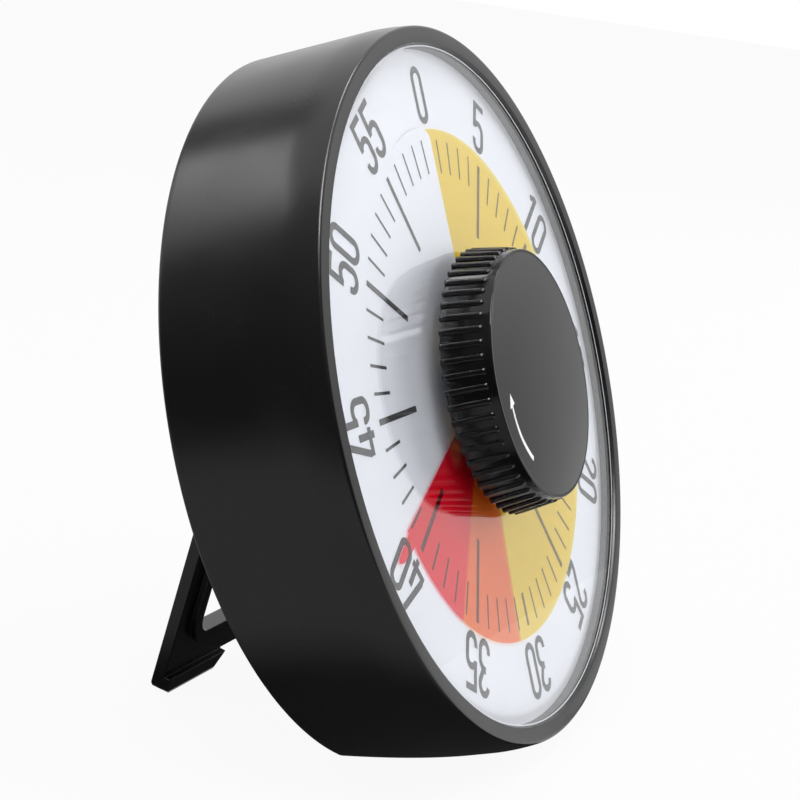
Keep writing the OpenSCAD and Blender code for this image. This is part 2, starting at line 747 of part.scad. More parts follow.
module back_cover() {
    pivot_y = cell_y - door_half_y + door_t / 2;
    color("#161618") difference() {
        union() {
            difference() {
                rod(plate_r, back_z, cover_in);
                below_table(case_wall + seat_play);
            }
            // tub for the folded stand, and well for the battery
            intersection() {
                translate([0, 0, back_z + 1]) linear_extrude(recess_z + 0.5 - back_z) recess2d(recess_wall);
                rod(plate_r, back_z, 0);
            }
            translate([0, 0, back_z + 1]) linear_extrude(bay_floor + bay_wall - back_z - 1) bay2d(bay_wall);
            // snap fingers that click into the case's groove
            for (a = snap_angles) rotate(a - 3.5) rotate_extrude(angle = 7) polygon([
                [plate_r - 2, cover_in - 0.5], [plate_r, cover_in - 0.5], [plate_r, snap_z + 0.1],
                [plate_r + 0.6, snap_z + 0.4], [plate_r, snap_z + 1.4], [plate_r - 2, snap_z + 1.4]]);
            // socket walls of the alarm switch
            translate([side_x - 5.6, -8.2, cover_in - 0.5]) difference() {
                cube([11.2, 16.4, 4.5]);
                translate([1.3, 1.3, -1]) cube([8.6, 13.8, 8]);
            }
            // collar that holds the buzzer
            translate([-side_x, 0, 0]) ring(buzzer_r + 1.6, buzzer_r + 0.15, cover_in - 0.5, cover_in + 3);
        }
        translate([0, 0, back_z - 1]) linear_extrude(recess_z - back_z + 1) recess2d(0);
        translate([0, 0, back_z - 1]) linear_extrude(bay_floor - back_z + 1) bay2d(0);
        // rebate and pivot holes of the battery door
        translate([-door_half_x - 0.3, cell_y - door_half_y - 0.3, back_z - 1])
            cube([2 * door_half_x + 0.6, 2 * door_half_y + 0.6, door_t + 1.05]);
        translate([-door_half_x - 1.6, pivot_y, back_z + door_t / 2]) rotate([0, 90, 0])
            cylinder(r = 0.55, h = 2 * door_half_x + 3.2);
        // hinge pin holes
        translate([-pin_half, hinge_y, hinge_z]) rotate([0, 90, 0])
            cylinder(r = pin_r + run_fit, h = 2 * pin_half);
        at_posts() {
            rod(1.4, back_z - 1, cover_in + 1);
            rod(2.8, back_z - 1, back_z + 1.5);
        }
        // sound holes over the buzzer
        translate([-side_x, 0, 0]) for (a = [0:60:300]) rotate(a) translate([4.5, 0, 0])
            rod(0.9, back_z - 1, cover_in + 1);
        translate([-side_x, 0, 0]) rod(0.9, back_z - 1, cover_in + 1);
        // slot of the alarm switch
        translate([side_x - 2.2, -switch_travel / 2 - 2.7, back_z - 1])
            cube([4.4, switch_travel + 5.4, cover_t + 2]);
    }
}

module case_screws() {
    color("#b9bcc0") at_posts() difference() {
        union() {
            rod(2.6, back_z + 0.1, back_z + 1.5);
            rod(1.15, back_z + 1.4, cover_in + 7);
        }
        slot_cross(back_z - 1, back_z + 0.8);
    }
}

// ---------- battery bay ----------

module battery() {
    color("#c9a227") translate([cell_x - cell_len / 2, cell_y, cell_z]) rotate([0, 90, 0]) {
        cylinder(r = cell_r, h = cell_len);
        cylinder(r = 2.75, h = cell_len + 1.3);
    }
}

// Conical spring, wound by rings of points along a helix
module battery_spring() {
    turns = 2.5;
    steps = 50;
    left = -bay_half_x + 0.5;
    run = cell_x - cell_len / 2 - left - 2 * spring_wire - 0.1;
    points = [for (i = [0:steps]) let(
            t = i / steps, r = 5 - 2.2 * t, a = 360 * turns * t)
        each [for (k = [0:7]) let(c = -k * 45)
            [left + spring_wire - 0.25 + (run + 0.25) * t + spring_wire * sin(c),
             cell_y + (r + spring_wire * cos(c)) * cos(a),
             cell_z + (r + spring_wire * cos(c)) * sin(a)]]];
    color("#c9ccd0") {
        translate([-bay_half_x, cell_y - plate_side / 2, cell_z - plate_side / 2])
            cube([0.5, plate_side, plate_side]);
        polyhedron(points, loft_faces(steps + 1, 8));
    }
}

module battery_contact() {
    gap = bay_half_x - 0.5 - (cell_x + cell_len / 2 + 1.3);
    color("#c9ccd0") {
        translate([bay_half_x - 0.5, cell_y - plate_side / 2, cell_z - plate_side / 2])
            cube([0.5, plate_side, plate_side]);
        translate([bay_half_x - 0.5 - gap + 0.05, cell_y, cell_z]) rotate([0, 90, 0])
            cylinder(r = 2, h = gap);
    }
}

module battery_door() {
    pivot_y = cell_y - door_half_y + door_t / 2;
    color("#161618") {
        difference() {
            translate([-door_half_x, pivot_y, back_z])
                cube([2 * door_half_x, 2 * door_half_y - door_t / 2, door_t]);
            for (y = [0:1.6:4.8]) translate([-6, cell_y + 2 + y, back_z - 1]) cube([12, 0.8, 1.4]);
        }
        translate([-door_half_x, pivot_y, back_z + door_t / 2]) rotate([0, 90, 0])
            cylinder(r = door_t / 2, h = 2 * door_half_x);
        translate([-door_half_x - 1.2, pivot_y, back_z + door_t / 2]) rotate([0, 90, 0])
            cylinder(r = 0.5, h = 2 * door_half_x + 2.4);
    }
}

// ---------- alarm ----------

module buzzer() {
    color("#121213") translate([-side_x, 0, 0]) difference() {
        rod(buzzer_r, cover_in + 0.05, cover_in + buzzer_h);
        rod(1.5, cover_in - 1, cover_in + 1.5);
    }
}

module alarm_switch() {
    color("#2b2d31") translate([side_x, 0, cover_in]) difference() {
        translate([-4.2, -6.8, 0.3]) cube([8.4, 13.6, 5]);
        translate([-1.6, -switch_travel / 2 - 2, -1]) cube([3.2, switch_travel + 4, 3.3]);
    }
}

module alarm_slider() {
    color("#e6e7e9") translate([side_x, switch_travel / 2, 0]) {
        translate([-1.4, -1.8, back_z + 0.2]) cube([2.8, 3.6, cover_t + 1.8]);
        translate([-1.9, -2.4, back_z + 0.2]) cube([3.8, 4.8, 1.5]);
    }
}

// ---------- stand ----------

// Outline of the stand, hinge at the origin and foot towards -y
module stand2d() {
    low = -stand_len;
    polygon(concat(
        [[stand_half, stop_reach], [-stand_half, stop_reach]],
        [[-stand_half, low + 1.2], [-stand_half + 1.2, low], [-arch_half, low],
         [-arch_half + 3.6, low + arch_h * 0.7], [-arch_half + 5, low + arch_h],
         [arch_half - 5, low + arch_h], [arch_half - 3.6, low + arch_h * 0.7],
         [arch_half, low], [stand_half - 1.2, low], [stand_half, low + 1.2]]));
}

module window2d(grow) {
    r = 5 + grow;
    x = window_half + grow;
    low = -stand_len + foot_h - grow;
    high = -head_h + grow;
    polygon(concat(arc(x - r, high - r, r, 0, 90, 6), arc(-x + r, high - r, r, 90, 180, 6),
        arc(-x + r, low + r, r, 180, 270, 6), arc(x - r, low + r, r, 270, 360, 6)));
}

module kickstand() {
    color("#161618") translate([0, hinge_y, hinge_z]) rotate([open_angle, 0, 0]) difference() {
        union() {
            translate([0, 0, -bar_back]) linear_extrude(bar_t) stand2d();
            translate([0, 0, bar_front - 0.01]) linear_extrude(flange_h + 0.01) intersection() {
                window2d(flange_w);
                stand2d();
            }
            translate([0, 0, bar_front - 0.01]) linear_extrude(flange_h + 0.01) intersection() {
                translate([-stand_half - 1, -stand_len - 1]) square([2 * stand_half + 2, 4.9]);
                stand2d();
            }
            translate([-stand_half, 0, 0]) rotate([0, 90, 0]) cylinder(r = barrel_r, h = 2 * stand_half);
        }
        translate([0, 0, -10]) linear_extrude(20) window2d(0);
        translate([-stand_half - 1, 0, 0]) rotate([0, 90, 0])
            cylinder(r = pin_r + run_fit, h = 2 * stand_half + 2);
    }
}

module hinge_pin() {
    color("#b9bcc0") translate([-pin_half + 0.2, hinge_y, hinge_z]) rotate([0, 90, 0])
        cylinder(r = pin_r, h = 2 * pin_half - 0.4);
}

on_stand() front_case();
on_stand() lens();
on_stand() spacer_ring();
on_stand() dial_plate();
on_stand() dial_carrier();
on_stand() back_cover();
on_stand() case_screws();
on_stand() colour_disc();
on_stand() disc_hub();
on_stand() knob();
on_stand() knob_cap();
on_stand() knob_screw();
on_stand() centre_shaft();
on_stand() shaft_bushing();
on_stand() bushing_nut();
on_stand() movement_frame();
on_stand() movement_cover();
on_stand() movement_screws();
on_stand() centre_wheel();
on_stand() clutch_spring();
on_stand() retaining_clip();
on_stand() third_wheel();
on_stand() intermediate_wheel();
on_stand() rotor_pinion();
on_stand() rotor_magnet();
on_stand() stator();
on_stand() coil_bobbin();
on_stand() coil_winding();
on_stand() circuit_board();
on_stand() driver_chip();
on_stand() quartz_crystal();
on_stand() battery();
on_stand() battery_spring();
on_stand() battery_contact();
on_stand() battery_door();
on_stand() buzzer();
on_stand() alarm_switch();
on_stand() alarm_slider();
on_stand() kickstand();
on_stand() hinge_pin();
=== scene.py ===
# %% [markdown]
# # A visual countdown timer, dressed in Blender
#
# The object is a round drum, 175 mm across, with a ribbed setting knob in the
# middle of a clear lens. Turning the knob winds a coloured film round the white
# dial, so that the time that is left shows as a slice of colour. The drum leans
# back on a folding stand.
#
# The engineering model is already made and packed. It gives every piece its
# place, and here those pieces get their finish, fine edges, ribs and print.

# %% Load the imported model
import math

import bmesh
import bpy
import numpy as np
from mathutils import Matrix, Vector


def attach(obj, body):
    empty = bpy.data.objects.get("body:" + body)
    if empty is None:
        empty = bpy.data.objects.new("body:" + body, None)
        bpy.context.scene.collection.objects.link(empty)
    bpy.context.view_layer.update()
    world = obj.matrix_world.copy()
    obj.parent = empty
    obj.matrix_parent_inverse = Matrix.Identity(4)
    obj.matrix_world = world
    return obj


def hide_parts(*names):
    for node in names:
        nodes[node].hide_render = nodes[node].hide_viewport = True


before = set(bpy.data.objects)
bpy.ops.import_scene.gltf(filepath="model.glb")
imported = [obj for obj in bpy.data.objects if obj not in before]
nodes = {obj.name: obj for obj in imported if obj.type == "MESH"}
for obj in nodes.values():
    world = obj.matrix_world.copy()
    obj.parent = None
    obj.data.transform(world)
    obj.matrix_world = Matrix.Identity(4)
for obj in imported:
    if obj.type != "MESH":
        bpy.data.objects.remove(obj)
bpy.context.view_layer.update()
print("nodes:", len(nodes))

# %% [markdown]
# ## Sizes
#
# A piece is easiest to draw in a frame of its own. For this object that frame
# sits in the middle of the bezel: x runs to the right, y up to the 0 mark and z
# out of the dial, all in millimetres. One matrix then leans the whole drum back
# by 21 degrees and stands it on the table, in metres.

# %% The drum's own frame
MM = 0.001
LEAN = math.radians(21)
DRUM_R = 88.4
# The flat that the drum stands on starts this far behind the bezel
FLAT_START = 10.5
CENTRE_HEIGHT = FLAT_START * math.sin(LEAN) + DRUM_R * math.cos(LEAN)
CENTRE_SHIFT = -18.5061
DRUM_PLACE = Matrix.Translation((0, CENTRE_SHIFT * MM, CENTRE_HEIGHT * MM)) @ Matrix.Rotation(
    math.pi / 2 - LEAN, 4, "X"
)
# Turns Object coordinates onto the drum's own axes
UPRIGHT = (LEAN - math.pi / 2, 0, 0)
print("the drum's centre stands", round(CENTRE_HEIGHT, 2), "mm above the table")


# %% [markdown]
# ## From a list of points to a piece
#
# Most pieces here are worked out as points and faces in plain Python and then
# handed to Blender. The helper below places them, joins doubled points, turns
# all faces outwards and shades the faces smooth except across sharp edges.


# %% Make a mesh piece from points in the drum's frame
# Points closer together than this, in metres, become one
SAME_POINT = 1e-7


def piece_from(name, points, faces, sharp_degrees=35, outwards=True):
    mesh = bpy.data.meshes.new(name)
    mesh.from_pydata([Vector(point) * MM for point in points], [], faces)
    work = bmesh.new()
    work.from_mesh(mesh)
    bmesh.ops.remove_doubles(work, verts=work.verts, dist=SAME_POINT)
    if outwards:
        bmesh.ops.recalc_face_normals(work, faces=work.faces)
    work.to_mesh(mesh)
    work.free()
    mesh.transform(DRUM_PLACE)
    return shown(name, mesh, sharp_degrees)


# %% Put a mesh, a lamp or the camera into the scene
def placed(name, data):
    made = bpy.data.objects.new(name, data)
    bpy.context.scene.collection.objects.link(made)
    return made


def shown(name, mesh, sharp_degrees=35):
    mesh.shade_smooth()
    mesh.set_sharp_from_angle(angle=math.radians(sharp_degrees))
    print(name, "has", len(mesh.polygons), "faces")
    return placed(name, mesh)


# %% Quads between rows of points that all have the same length
def grid_faces(rows, columns, rows_closed=False, columns_closed=False):
    faces = []
    for i in range(rows if rows_closed else rows - 1):
        for j in range(columns if columns_closed else columns - 1):
            below, right = (i + 1) % rows, (j + 1) % columns
            faces.append((i * columns + j, i * columns + right, below * columns + right, below * columns + j))
    return faces


# %% Points on a small arc, used for every rounded edge
def rounding(r, z, radius, start, end, steps=5):
    turns = [math.radians(start + (end - start) * i / steps) for i in range(steps + 1)]
    return [(r + radius * math.cos(turn), z + radius * math.sin(turn)) for turn in turns]


# %% [markdown]
# ## Materials: one small function
#
# A shader is a handful of nodes joined by links. One function adds a node, sets
# it up and joins its inputs, so that each material below reads like a recipe.
# Most recipes end alike, and share that ending. Colours are written as they look
# on screen and turned to linear light once.


# %% Node and colour helpers
def add_node(tree, kind, inputs=None, **settings):
    made = tree.nodes.new(kind)
    for key, value in settings.items():
        setattr(made, key, value)
    for key, value in (inputs or {}).items():
        if isinstance(value, bpy.types.NodeSocket):
            tree.links.new(value, made.inputs[key])
        else:
            made.inputs[key].default_value = value
    return made


def linear(code):
    parts = [int(code[i : i + 2], 16) / 255 for i in (1, 3, 5)]
    return tuple(p / 12.92 if p <= 0.04045 else ((p + 0.055) / 1.055) ** 2.4 for p in parts) + (1.0,)


def new_material(name):
    material = bpy.data.materials.new(name)
    material.use_nodes = True
    material.node_tree.nodes.clear()
    print("material:", name)
    return material, material.node_tree


# Most recipes start from the place on the object, in Object coordinates
def new_recipe(name):
    material, tree = new_material(name)
    return material, tree, add_node(tree, "ShaderNodeTexCoord").outputs["Object"]


def finish_material(tree, shader):
    add_node(tree, "ShaderNodeOutputMaterial", {"Surface": shader})


# %% What most finishes share: two close colours, a shine and perhaps a relief
def surface(tree, share, codes, shine, height=None, relief_mm=0.0, **inputs):
    tone = add_node(tree, "ShaderNodeMix", {0: share, 6: linear(codes[0]), 7: linear(codes[1])}, data_type="RGBA")
    inputs = {"Base Color": tone.outputs[2], "Roughness": shine, **inputs}
    if height is not None:
        relief = add_node(tree, "ShaderNodeBump", {"Height": height, "Distance": relief_mm * MM, "Strength": 1.0})
        inputs["Normal"] = relief.outputs["Normal"]
    finish_material(tree, add_node(tree, "ShaderNodeBsdfPrincipled", inputs).outputs["BSDF"])


# %% [markdown]
# ### Moulded plastic
#
# Case, stand, knob and movement are injection moulded. Such a part takes the
# skin of its steel mould: a spark-eroded one leaves a fine pebble that scatters
# the shine, a polished one leaves it glossy. Under the pebble the wall is never
# quite even, so the shine drifts slowly from place to place. Two noise patterns
# do both jobs, the fine one as relief and the slow one in colour and roughness.


# %% Moulded plastic, from its colours, roughness and grain
# Size of the slow patches, and the span of the noise that is put to use
PATCH_MM, NOISE_LOW, NOISE_HIGH = 22, 0.15, 0.85


def moulded_plastic(name, code, second, roughness, grain_mm, relief_mm, drift=0.05, ior=1.53):
    material, tree, place = new_recipe(name)
    grain = add_node(
        tree, "ShaderNodeTexNoise", {"Vector": place, "Scale": 1 / (grain_mm * MM), "Detail": 2.0}
    ).outputs["Fac"]
    slow = add_node(
        tree, "ShaderNodeTexNoise", {"Vector": place, "Scale": 1 / (PATCH_MM * MM), "Detail": 3.0}
    ).outputs["Fac"]
    span = {"From Min": NOISE_LOW, "From Max": NOISE_HIGH, "To Min": roughness - drift, "To Max": roughness + drift}
    shine = add_node(
        tree, "ShaderNodeMapRange", {"Value": slow, **span}, interpolation_type="SMOOTHSTEP"
    ).outputs["Result"]
    surface(tree, slow, (code, second), shine, grain, relief_mm, IOR=ior)
    return material


# Black ABS with a fine spark texture: deep black, a broad soft sheen
case_abs = moulded_plastic("moulded_black_abs", "#0e0e10", "#131315", 0.26, 0.7, 0.004, drift=0.04)
# Glossy black ABS of the knob: tight highlights along each rib
knob_abs = moulded_plastic("glossy_black_abs", "#08080a", "#0c0c0e", 0.09, 3.0, 0.0003, drift=0.03, ior=1.47)
# Satin insert in the knob's face: mirrors the room as one even grey
cap_abs = moulded_plastic("satin_black_insert", "#121215", "#161619", 0.22, 0.8, 0.001, drift=0.02)
# Inner black plastic that is never polished
inner_abs = moulded_plastic("matte_black_abs", "#1a1a1c", "#202023", 0.55, 0.5, 0.01)
# Movement housing: dark grey glass-filled plastic, dry and matte
movement_abs = moulded_plastic("dark_glass_filled_nylon", "#36383c", "#3f4146", 0.6, 0.4, 0.015)
# Gears: unpainted acetal, waxy and slightly cream
gear_acetal = moulded_plastic("natural_acetal", "#e6e0cf", "#efe9d9", 0.42, 0.9, 0.004, ior=1.48)
# Hub, bobbin and switch slider: pale ABS
pale_abs = moulded_plastic("pale_grey_abs", "#dcdcd9", "#e6e6e3", 0.4, 0.8, 0.004)
# Epoxy of the chip and the buzzer's shell
moulded_epoxy = moulded_plastic("black_moulding_epoxy", "#16171a", "#1c1d20", 0.5, 0.25, 0.01)

# %% [markdown]
# ### Turned, drawn and plated metal
#
# Shafts, screws and the bushing are turned on a lathe, which leaves fine rings
# about 0.1 mm apart. Rings that fine can't be seen from here, so they are drawn
# at 0.3 mm. The same recipe, with another colour, gives steel, brass and nickel.


# %% Metal, from its colours, roughness and ring spacing
HAZE_MM, HAZE_DRIFT = 3, 0.08


# A Wave texture of scale 1 repeats every pi / 10 units
def wave_scale(spacing_mm):
    return 2 * math.pi / 20 / (spacing_mm * MM)


def turned_metal(name, code, second, roughness, ring_mm, axis="Z", relief_mm=0.004):
    material, tree, place = new_recipe(name)
    upright = add_node(tree, "ShaderNodeMapping", {"Vector": place, "Rotation": UPRIGHT}).outputs["Vector"]
    rings = add_node(
        tree,
        "ShaderNodeTexWave",
        {"Vector": upright, "Scale": wave_scale(ring_mm), "Distortion": 0.6, "Detail": 1.0},
        bands_direction=axis,
    ).outputs["Fac"]
    haze = add_node(
        tree, "ShaderNodeTexNoise", {"Vector": place, "Scale": 1 / (HAZE_MM * MM), "Detail": 4.0}
    ).outputs["Fac"]
    span = {"To Min": roughness - HAZE_DRIFT, "To Max": roughness + HAZE_DRIFT}
    shine = add_node(tree, "ShaderNodeMapRange", {"Value": haze, **span}).outputs["Result"]
    surface(tree, haze, (code, second), shine, rings, relief_mm, Metallic=1.0)
    return material


# Shaft, hinge pin and clip: bright, with fine rings from the lathe
shaft_steel = turned_metal("turned_steel", "#bfc1c5", "#cdcfd2", 0.3, 0.3)
# Screws: zinc plating, bluish and a little duller
screw_steel = turned_metal("zinc_plated_steel", "#b3b6bb", "#c6c9cd", 0.38, 0.3)
# Bushing, nut and clutch spring: warm yellow shine
brass = turned_metal("turned_brass", "#c9a157", "#d9b56b", 0.3, 0.3)
# Stator: punched sheet, grey and half matte
stator_steel = turned_metal("punched_steel", "#9a9da2", "#a9acb1", 0.42, 0.5)
# Rotor magnet: sintered powder, dark and dry
magnet_ferrite = turned_metal("sintered_ferrite", "#4a4b4f", "#58595d", 0.6, 0.4)
# Battery contacts and crystal can: nickel plating, warm and mirror-like
nickel = turned_metal("nickel_plate", "#cfcdc8", "#dbd9d4", 0.22, 0.4)
# Coil: enamelled wire, laid side by side, shows as deep rings
copper_wire = turned_metal("enamelled_copper_wire", "#a5532a", "#c06a38", 0.35, 0.25, axis="X", relief_mm=0.05)

# %% [markdown]
# ### Circuit board and battery sleeve
#
# A board is glass cloth under green solder mask: the cloth shows as a faint
# cross weave about 0.6 mm apart. The battery wears a thin black shrink sleeve.


# %% Board and sleeve
WEAVE_MM = 0.6


def solder_mask():
    material, tree, place = new_recipe("green_solder_mask")
    upright = add_node(tree, "ShaderNodeMapping", {"Vector": place, "Rotation": UPRIGHT}).outputs["Vector"]
    threads = {"Vector": upright, "Scale": wave_scale(WEAVE_MM)}
    weave = [
        add_node(tree, "ShaderNodeTexWave", threads, bands_direction=axis).outputs["Fac"] for axis in ("X", "Y")
    ]
    cloth = add_node(tree, "ShaderNodeMath", {0: weave[0], 1: weave[1]}, operation="MULTIPLY").outputs["Value"]
    surface(tree, cloth, ("#14502c", "#1d6a3b"), 0.3)
    return material


board_mask = solder_mask()
# Shrink sleeve: thin, dark and glossy, drawn tight over the cell
sleeve = moulded_plastic("shrink_sleeve", "#2c2d31", "#36373c", 0.28, 3.0, 0.02)

# %% [markdown]
# ### Dial and print
#
# The dial is a white sheet of styrene, and its figures are screen printed in
# grey-black ink. Ink lies a little thicker in some places than in others, so it
# isn't one flat grey: a fine noise makes it slightly cloudy.


# %% White dial and ink
def printed_sheet(name, code, second, patch_mm, roughness):
    material, tree, place = new_recipe(name)
    cloud = add_node(
        tree, "ShaderNodeTexNoise", {"Vector": place, "Scale": 1 / (patch_mm * MM), "Detail": 4.0}
    ).outputs["Fac"]
    surface(tree, cloud, (code, second), roughness, IOR=1.5)
    return material


# Styrene sheet: matte white with a hint of blue
dial_white = printed_sheet("white_styrene_sheet", "#e9ebf3", "#eeeff6", 9, 0.55)
# Screen print on the dial: dry grey-black, slightly cloudy
dial_ink = printed_sheet("screen_print_ink", "#1f1f22", "#2a2a2d", 0.5, 0.6)
# Pad print on the knob: flat white
arrow_ink = printed_sheet("white_pad_print", "#f2f2f2", "#fafafa", 0.8, 0.5)

# %% [markdown]
# ### Translucent colour film
#
# The film is thin dyed polyester. It lets the marks under it show through, and
# also scatters a little light itself. Two shaders are mixed for that: a tinted
# transparent one for the marks and a diffuse one for the scatter. Light crosses
# the film's two faces on its way in and again on its way out, four in all, so
# each face only takes the fourth root of the colour that is seen. The film's
# first five minutes are red, the next five orange and all the rest yellow. The
# colours meet at fixed angles, so the colour is looked up from the angle round
# the shaft, counted clockwise from the 0 mark.

# %% Film with its three colours
# Minutes on the dial, at rest, where one colour ends and the next begins
ORANGE_FROM, RED_FROM, RED_TO = 31.15, 36.15, 41.16
FILM_COLOURS = ("#fbd62c", "#fd7222", "#f4102a")
FILM_SCATTER = 0.03
FULL_TURN = 2 * math.pi


def colour_film():
    material, tree, place = new_recipe("dyed_polyester_film")
    centred = {"Vector": place, "Location": tuple(DRUM_PLACE.inverted().translation), "Rotation": UPRIGHT}
    turned = add_node(tree, "ShaderNodeMapping", centred)
    apart = add_node(tree, "ShaderNodeSeparateXYZ", {"Vector": turned.outputs["Vector"]}).outputs
    share = add_node(tree, "ShaderNodeMath", {0: apart["X"], 1: apart["Y"]}, operation="ARCTAN2").outputs["Value"]
    for operation in ("ADD", "MODULO", "DIVIDE"):
        share = add_node(tree, "ShaderNodeMath", {0: share, 1: FULL_TURN}, operation=operation).outputs["Value"]
    made = {}
    for use, power in {"tint": 0.25, "scatter": 1.0}.items():
        yellow, orange, red = [tuple(part**power for part in linear(code)) for code in FILM_COLOURS]
        ramp = add_node(tree, "ShaderNodeValToRGB", {"Fac": share})
        ramp.color_ramp.interpolation = "CONSTANT"
        ramp.color_ramp.elements[0].color = yellow
        ramp.color_ramp.elements[1].position = ORANGE_FROM / 60
        ramp.color_ramp.elements[1].color = orange
        ramp.color_ramp.elements.new(RED_FROM / 60).color = red
        ramp.color_ramp.elements.new(RED_TO / 60).color = yellow
        made[use] = ramp.outputs["Color"]
    clear = add_node(tree, "ShaderNodeBsdfTransparent", {"Color": made["tint"]})
    milky = add_node(tree, "ShaderNodeBsdfDiffuse", {"Color": made["scatter"]})
    film = add_node(
        tree, "ShaderNodeMixShader", {0: FILM_SCATTER, 1: clear.outputs["BSDF"], 2: milky.outputs["BSDF"]}
    )
    finish_material(tree, film.outputs["Shader"])
    return material


# Dyed film: clear glowing colour, with the marks dark under it
film_dye = colour_film()

# %% [markdown]
# ### The clear lens
#
# The window is polished polystyrene. Seen at a slant it mirrors a fifth of the
# room, which lays a pale veil over the dial, and it mirrors the knob. Light that
# bends on its way through would be found by chance only and come out as noise,
# so shadow rays and soft bounce light go straight through instead.


# %% Clear lens
def clear_lens():
    material, tree, place = new_recipe("polished_polystyrene")
    haze = add_node(
        tree, "ShaderNodeTexNoise", {"Vector": place, "Scale": 1 / (30 * MM), "Detail": 2.0}
    ).outputs["Fac"]
    polish = add_node(tree, "ShaderNodeMapRange", {"Value": haze, "To Min": 0.0, "To Max": 0.02})
    pane = {"Base Color": linear("#fbfdff"), "Roughness": polish.outputs["Result"], "IOR": 1.49}
    glass = add_node(tree, "ShaderNodeBsdfPrincipled", {**pane, "Transmission Weight": 1.0}).outputs["BSDF"]
    through = add_node(tree, "ShaderNodeBsdfTransparent").outputs["BSDF"]
    path = add_node(tree, "ShaderNodeLightPath")
    soft = add_node(tree, "ShaderNodeMixShader", {0: path.outputs["Is Diffuse Ray"], 1: glass, 2: through})
    both = add_node(
        tree, "ShaderNodeMixShader", {0: path.outputs["Is Shadow Ray"], 1: soft.outputs["Shader"], 2: through}
    )
    finish_material(tree, both.outputs["Shader"])
    return material


# Polished window: clear, with a sharp veil of the room on it
lens_clear = clear_lens()
# Cut edge of the window: frosted, and its pale colour is a painted highlight for the trapped light that such an edge
# hands out
lens_edge_highlight_paint = printed_sheet("painted_lens_edge_highlight", "#dfe3ea", "#e8ebf0", 5, 0.3)

# %% [markdown]
# ## Finish for the pieces that keep their CAD shape
#
# Many pieces are inside the drum or already have the right shape. They only get
# their material, in the slot that they already have.

# %% Give every CAD node its material
FINISH = [
    (case_abs, ["front_case", "back_cover", "kickstand", "battery_door"]),
    (knob_abs, ["knob"]),
    (cap_abs, ["knob_cap"]),
    (inner_abs, ["spacer_ring", "dial_carrier", "alarm_switch"]),
    (movement_abs, ["movement_frame", "movement_cover"]),
    (gear_acetal, ["centre_wheel", "third_wheel", "intermediate_wheel", "rotor_pinion"]),
    (pale_abs, ["disc_hub", "coil_bobbin", "alarm_slider"]),
    (moulded_epoxy, ["driver_chip", "buzzer"]),
    (shaft_steel, ["centre_shaft", "hinge_pin", "retaining_clip"]),
    (screw_steel, ["case_screws", "knob_screw", "movement_screws"]),
    (brass, ["shaft_bushing", "bushing_nut", "clutch_spring"]),
    (stator_steel, ["stator"]),
    (magnet_ferrite, ["rotor_magnet"]),
    (nickel, ["battery_spring", "battery_contact", "quartz_crystal"]),
    (copper_wire, ["coil_winding"]),
    (board_mask, ["circuit_board"]),
    (sleeve, ["battery"]),
    (dial_white, ["dial_plate"]),
    (film_dye, ["colour_disc"]),
    (lens_clear, ["lens"]),
]
for material, names in FINISH:
    for name in names:
        for slot in nodes[name].material_slots:
            slot.material = material
finished = sum(len(names) for _, names in FINISH)
print("CAD nodes with a finish:", finished, "of", len(nodes))

# %% [markdown]
# ## The case
#
# The case is one moulded shell. Its section is drawn once and spun in 720 steps,
# which keeps its outline round even close up. Where the drum meets the table it
# is cut flat, so each point of the section is pulled in to the table plane, and
# a smooth minimum instead of a plain one rounds the edge of that flat a little.

# %% Section of the case, from the window's edge outwards and back inside
CASE_WALL, CASE_BACK, CAVITY_R, EDGE_ROUND = 2.5, -39.3, 85.0, 0.8
# The wall swells by this much over the first millimetres behind the bezel
SWELL, SWELL_DEPTH = 0.9, 8.7
# The back cover snaps into this groove
GROOVE_R, GROOVE_FROM, GROOVE_TO = 85.6, -31.8, -30.2

case_section = [(82.95, -1.0), (82.95, -0.92), (83.3, -0.15), (83.42, -0.03), (83.6, 0.0), (86.6, 0.0)]
case_section += rounding(86.7, -EDGE_ROUND, EDGE_ROUND, 90, 0, 6)
case_section += [
    (DRUM_R - SWELL * (1 - t) ** 1.8, -EDGE_ROUND - SWELL_DEPTH * t) for t in np.linspace(0.06, 1, 16)
]
case_section += [(DRUM_R, z) for z in np.arange(-10.1, -38.2, -0.6)]
case_section += rounding(DRUM_R - EDGE_ROUND, CASE_BACK + EDGE_ROUND, EDGE_ROUND, 0, -90, 5)
outside_count = len(case_section)
case_section += [(85.3, CASE_BACK), (CAVITY_R, -39.0), (CAVITY_R, GROOVE_FROM)]
case_section += [(GROOVE_R, GROOVE_FROM), (GROOVE_R, GROOVE_TO), (CAVITY_R, GROOVE_TO)]
case_section += [(CAVITY_R, z) for z in np.arange(-28.0, -1.5, -3.0)] + [(CAVITY_R, -1.0)]
print("points round the section:", len(case_section))


# %% Spin the section, flattened where it meets the table
CASE_STEPS, FLAT_BLEND, FLAT_FROM_R, BACK_EDGE, LOW_SIDE = 720, 1.2, 84, -38.4, 0.2


def table_reach(z, height):
    return (CENTRE_HEIGHT - height + z * math.sin(LEAN)) / math.cos(LEAN)


def smooth_min(a, b, blend):
    near = max(blend - abs(a - b), 0) / blend
    return min(a, b) - near * near * blend / 4


def spun_case(section):
    points = []
    for step in range(CASE_STEPS):
        turn = 2 * math.pi * step / CASE_STEPS
        down = -math.cos(turn)
        for index, (r, z) in enumerate(section):
            outside = index < outside_count
            inset = DRUM_R - r if outside and z < BACK_EDGE else 0
            if down > LOW_SIDE and r > FLAT_FROM_R:
                reach = table_reach(z, 0 if outside else CASE_WALL) / down - inset
                r = smooth_min(r, reach, FLAT_BLEND)
            points.append((r * math.sin(turn), r * math.cos(turn), z))
    return points, grid_faces(CASE_STEPS, len(section), rows_closed=True, columns_closed=True)


drum_case = piece_from("drum_case", *spun_case(case_section))
drum_case.data.materials.append(case_abs)
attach(drum_case, "drum")
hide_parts("front_case")

